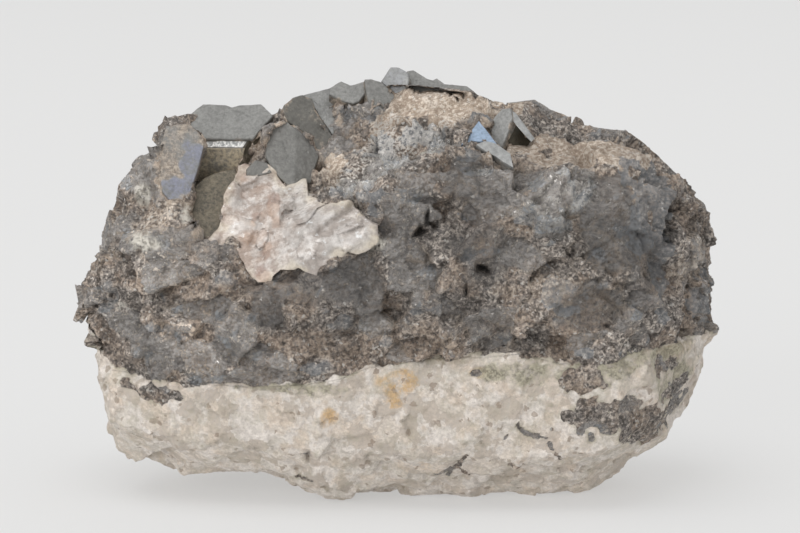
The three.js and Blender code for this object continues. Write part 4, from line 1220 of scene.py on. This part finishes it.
def feldspar_finish(name):
    """Pinkish-white feldspar: sparkling grains, clear and milky cleavage patches, a cream
    rim, and orange and pink stains."""
    f = Finish(name)
    cloud, fine = f.noise(5.0, 6.0, roughness=0.6), f.noise(0.9, 6.0, roughness=0.75)
    spark = f.one(f.cells(0.8, f.warped(0.7, 0.4), out="Color"))
    milk = cloud + (f.value("grain") - 0.5) * 0.2 + (fine - 0.5) * 0.35
    colour = f.mix(f.ease(milk, 0.38, 0.64), CLEAR_SPAR, MILKY_SPAR)
    colour = f.mix(f.value("grey") * f.ease(cloud + fine * 0.4, 0.56, 0.8) * 0.6, colour,
                   GLASSY_SPAR)
    colour = f.mix(f.value("rim") * f.ease(cloud, 0.4, 0.6) * 0.7, colour, CREAM_RIM)
    pink = f.value("stain") * f.ease(cloud + fine * 0.6, 0.55, 0.85)
    colour = f.mix(pink * 0.75, colour, f.mix(f.value("face"), PINK_STAIN, ORANGE_STAIN))
    colour = f.mix(f.ease(spark, 0.93, 0.98) * f.ease(fine, 0.45, 0.6) * 0.8, colour, SPARKLE)
    warm = f.value("warm") * f.ease(cloud + fine * 0.3, 0.76, 0.5, 0.15, 1.0)
    tint = f.mix(warm, COOL_TINT, WARM_TINT)
    colour = f.mix(1.0, colour, tint, "MULTIPLY")
    colour = f.shade(colour, f.ease(f.value("face"), 0.1, 0.9, 0.92, 1.1))
    colour = f.shade(colour, f.ease(fine, 0.32, 0.68, 0.82, 1.12))
    colour = f.shade(colour, 1 - f.value("seam") * 0.06)
    return f.close(Base_Color=colour, Roughness=f.ease(spark, 0.2, 0.95, 0.7, 0.4),
                   Normal=f.bump(cloud * 0.3 + fine * 0.6, 0.5, 0.6))


def floor_finish():
    """Plain pale sheet, lit from below as well, as a light table is."""
    f = Finish("pale_floor")
    return f.close(Base_Color=(0.35, 0.35, 0.348, 1.0), Roughness=0.9,
                   Emission_Color=(1.0, 1.0, 0.995, 1.0), Emission_Strength=0.405)


# The pieces

RINGS, ORE_COLUMNS, GRANITE_COLUMNS = ((386, 248, 214))
SPACING = 0.45

ore_mass = skin_piece("ore_mass", True, RINGS, ORE_COLUMNS, stone_finish("ore_skin"))
granite_base = skin_piece("granite_base", False, RINGS, GRANITE_COLUMNS,
                          stone_finish("granite_skin"))
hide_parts("rock")

steel_grey = crystal_finish(
    "crystal_grey", dark=(0.06, 0.052, 0.036), light=(0.4, 0.405, 0.4), sheen=(0.19, 0.2, 0.27),
    crust=(0.2, 0.15, 0.11), metallic=0.3)
sky_blue = crystal_finish(
    "crystal_blue", dark=(0.22, 0.3, 0.42), light=(0.27, 0.35, 0.46), sheen=(0.27, 0.35, 0.46),
    crust=(0.3, 0.33, 0.36), metallic=0.25)
crystal_piece("crest_crystals", CREST_CRYSTALS, FRONT, steel_grey, SPACING, wear=0.22,
              roughness=0.12)
crystal_piece("rear_crystals", REAR_CRYSTALS, BACK, steel_grey, SPACING, wear=0.22,
              roughness=0.12)
crystal_piece("blue_crystal", [BLUE_CRYSTAL], FRONT, sky_blue, SPACING, wear=0.15,
              roughness=0.05)
nodule_piece(SPACING)


# Floor, light and camera, in metres and watts

FLOOR_HALF = 4.0
SKY_STRENGTH = 0.72
OVERHEAD = {"place": (-0.7, -0.8, 3.6), "aim": (0, 0.7, 0), "size": 3.0, "power": 46}
FROM_THE_FRONT = {"place": (-1.3, -2.2, 0.5), "aim": (0, 0, 0.05), "size": 1.6, "power": 26}
CAMERA_TARGET = Vector((1.5, 0, 50.7)) * MM  # the middle of the stone
CAMERA_DISTANCE = 800 * MM
VIEW_WIDTH = 186.1 * MM  # what the picture spans at the target
SENSOR_WIDTH = 36
FARTHEST = 50


def make_floor():
    """A flat square under the stone."""
    mesh = bpy.data.meshes.new("floor")
    corners = [(-1, -1), (1, -1), (1, 1), (-1, 1)]
    mesh.from_pydata([(FLOOR_HALF * x, FLOOR_HALF * y, 0) for x, y in corners], [], [(0, 1, 2, 3)])
    mesh.materials.append(floor_finish())
    floor = bpy.data.objects.new("floor", mesh)
    bpy.context.collection.objects.link(floor)


def soft_light(name, place, aim, size, power):
    """A square area light at a place, in metres, that shines at aim."""
    light = bpy.data.lights.new(name, "AREA")
    light.shape, light.size, light.energy = "SQUARE", size, power
    lamp = bpy.data.objects.new(name, light)
    lamp.location = place
    lamp.rotation_euler = (Vector(aim) - Vector(place)).to_track_quat("-Z", "Y").to_euler()
    bpy.context.collection.objects.link(lamp)


def make_sky(strength):
    """An even white sky."""
    world = bpy.data.worlds.new("studio")
    world.use_nodes = True
    world.node_tree.nodes["Background"].inputs["Color"].default_value = (1, 1, 1, 1)
    world.node_tree.nodes["Background"].inputs["Strength"].default_value = strength
    bpy.context.scene.world = world


make_floor()
make_sky(SKY_STRENGTH)
soft_light("overhead_softbox", **OVERHEAD)
soft_light("front_softbox", **FROM_THE_FRONT)

sight = Vector((0, math.cos(CAMERA_DROP), -math.sin(CAMERA_DROP)))
camera = bpy.data.objects.new("camera", bpy.data.cameras.new("camera"))
camera.location = CAMERA_TARGET - CAMERA_DISTANCE * sight
camera.rotation_euler = sight.to_track_quat("-Z", "Y").to_euler()
camera.data.sensor_width = SENSOR_WIDTH
camera.data.lens = SENSOR_WIDTH * CAMERA_DISTANCE / VIEW_WIDTH
camera.data.clip_end = FARTHEST
bpy.context.collection.objects.link(camera)
bpy.context.scene.camera = camera
bpy.context.scene.view_settings.view_transform = "Standard"
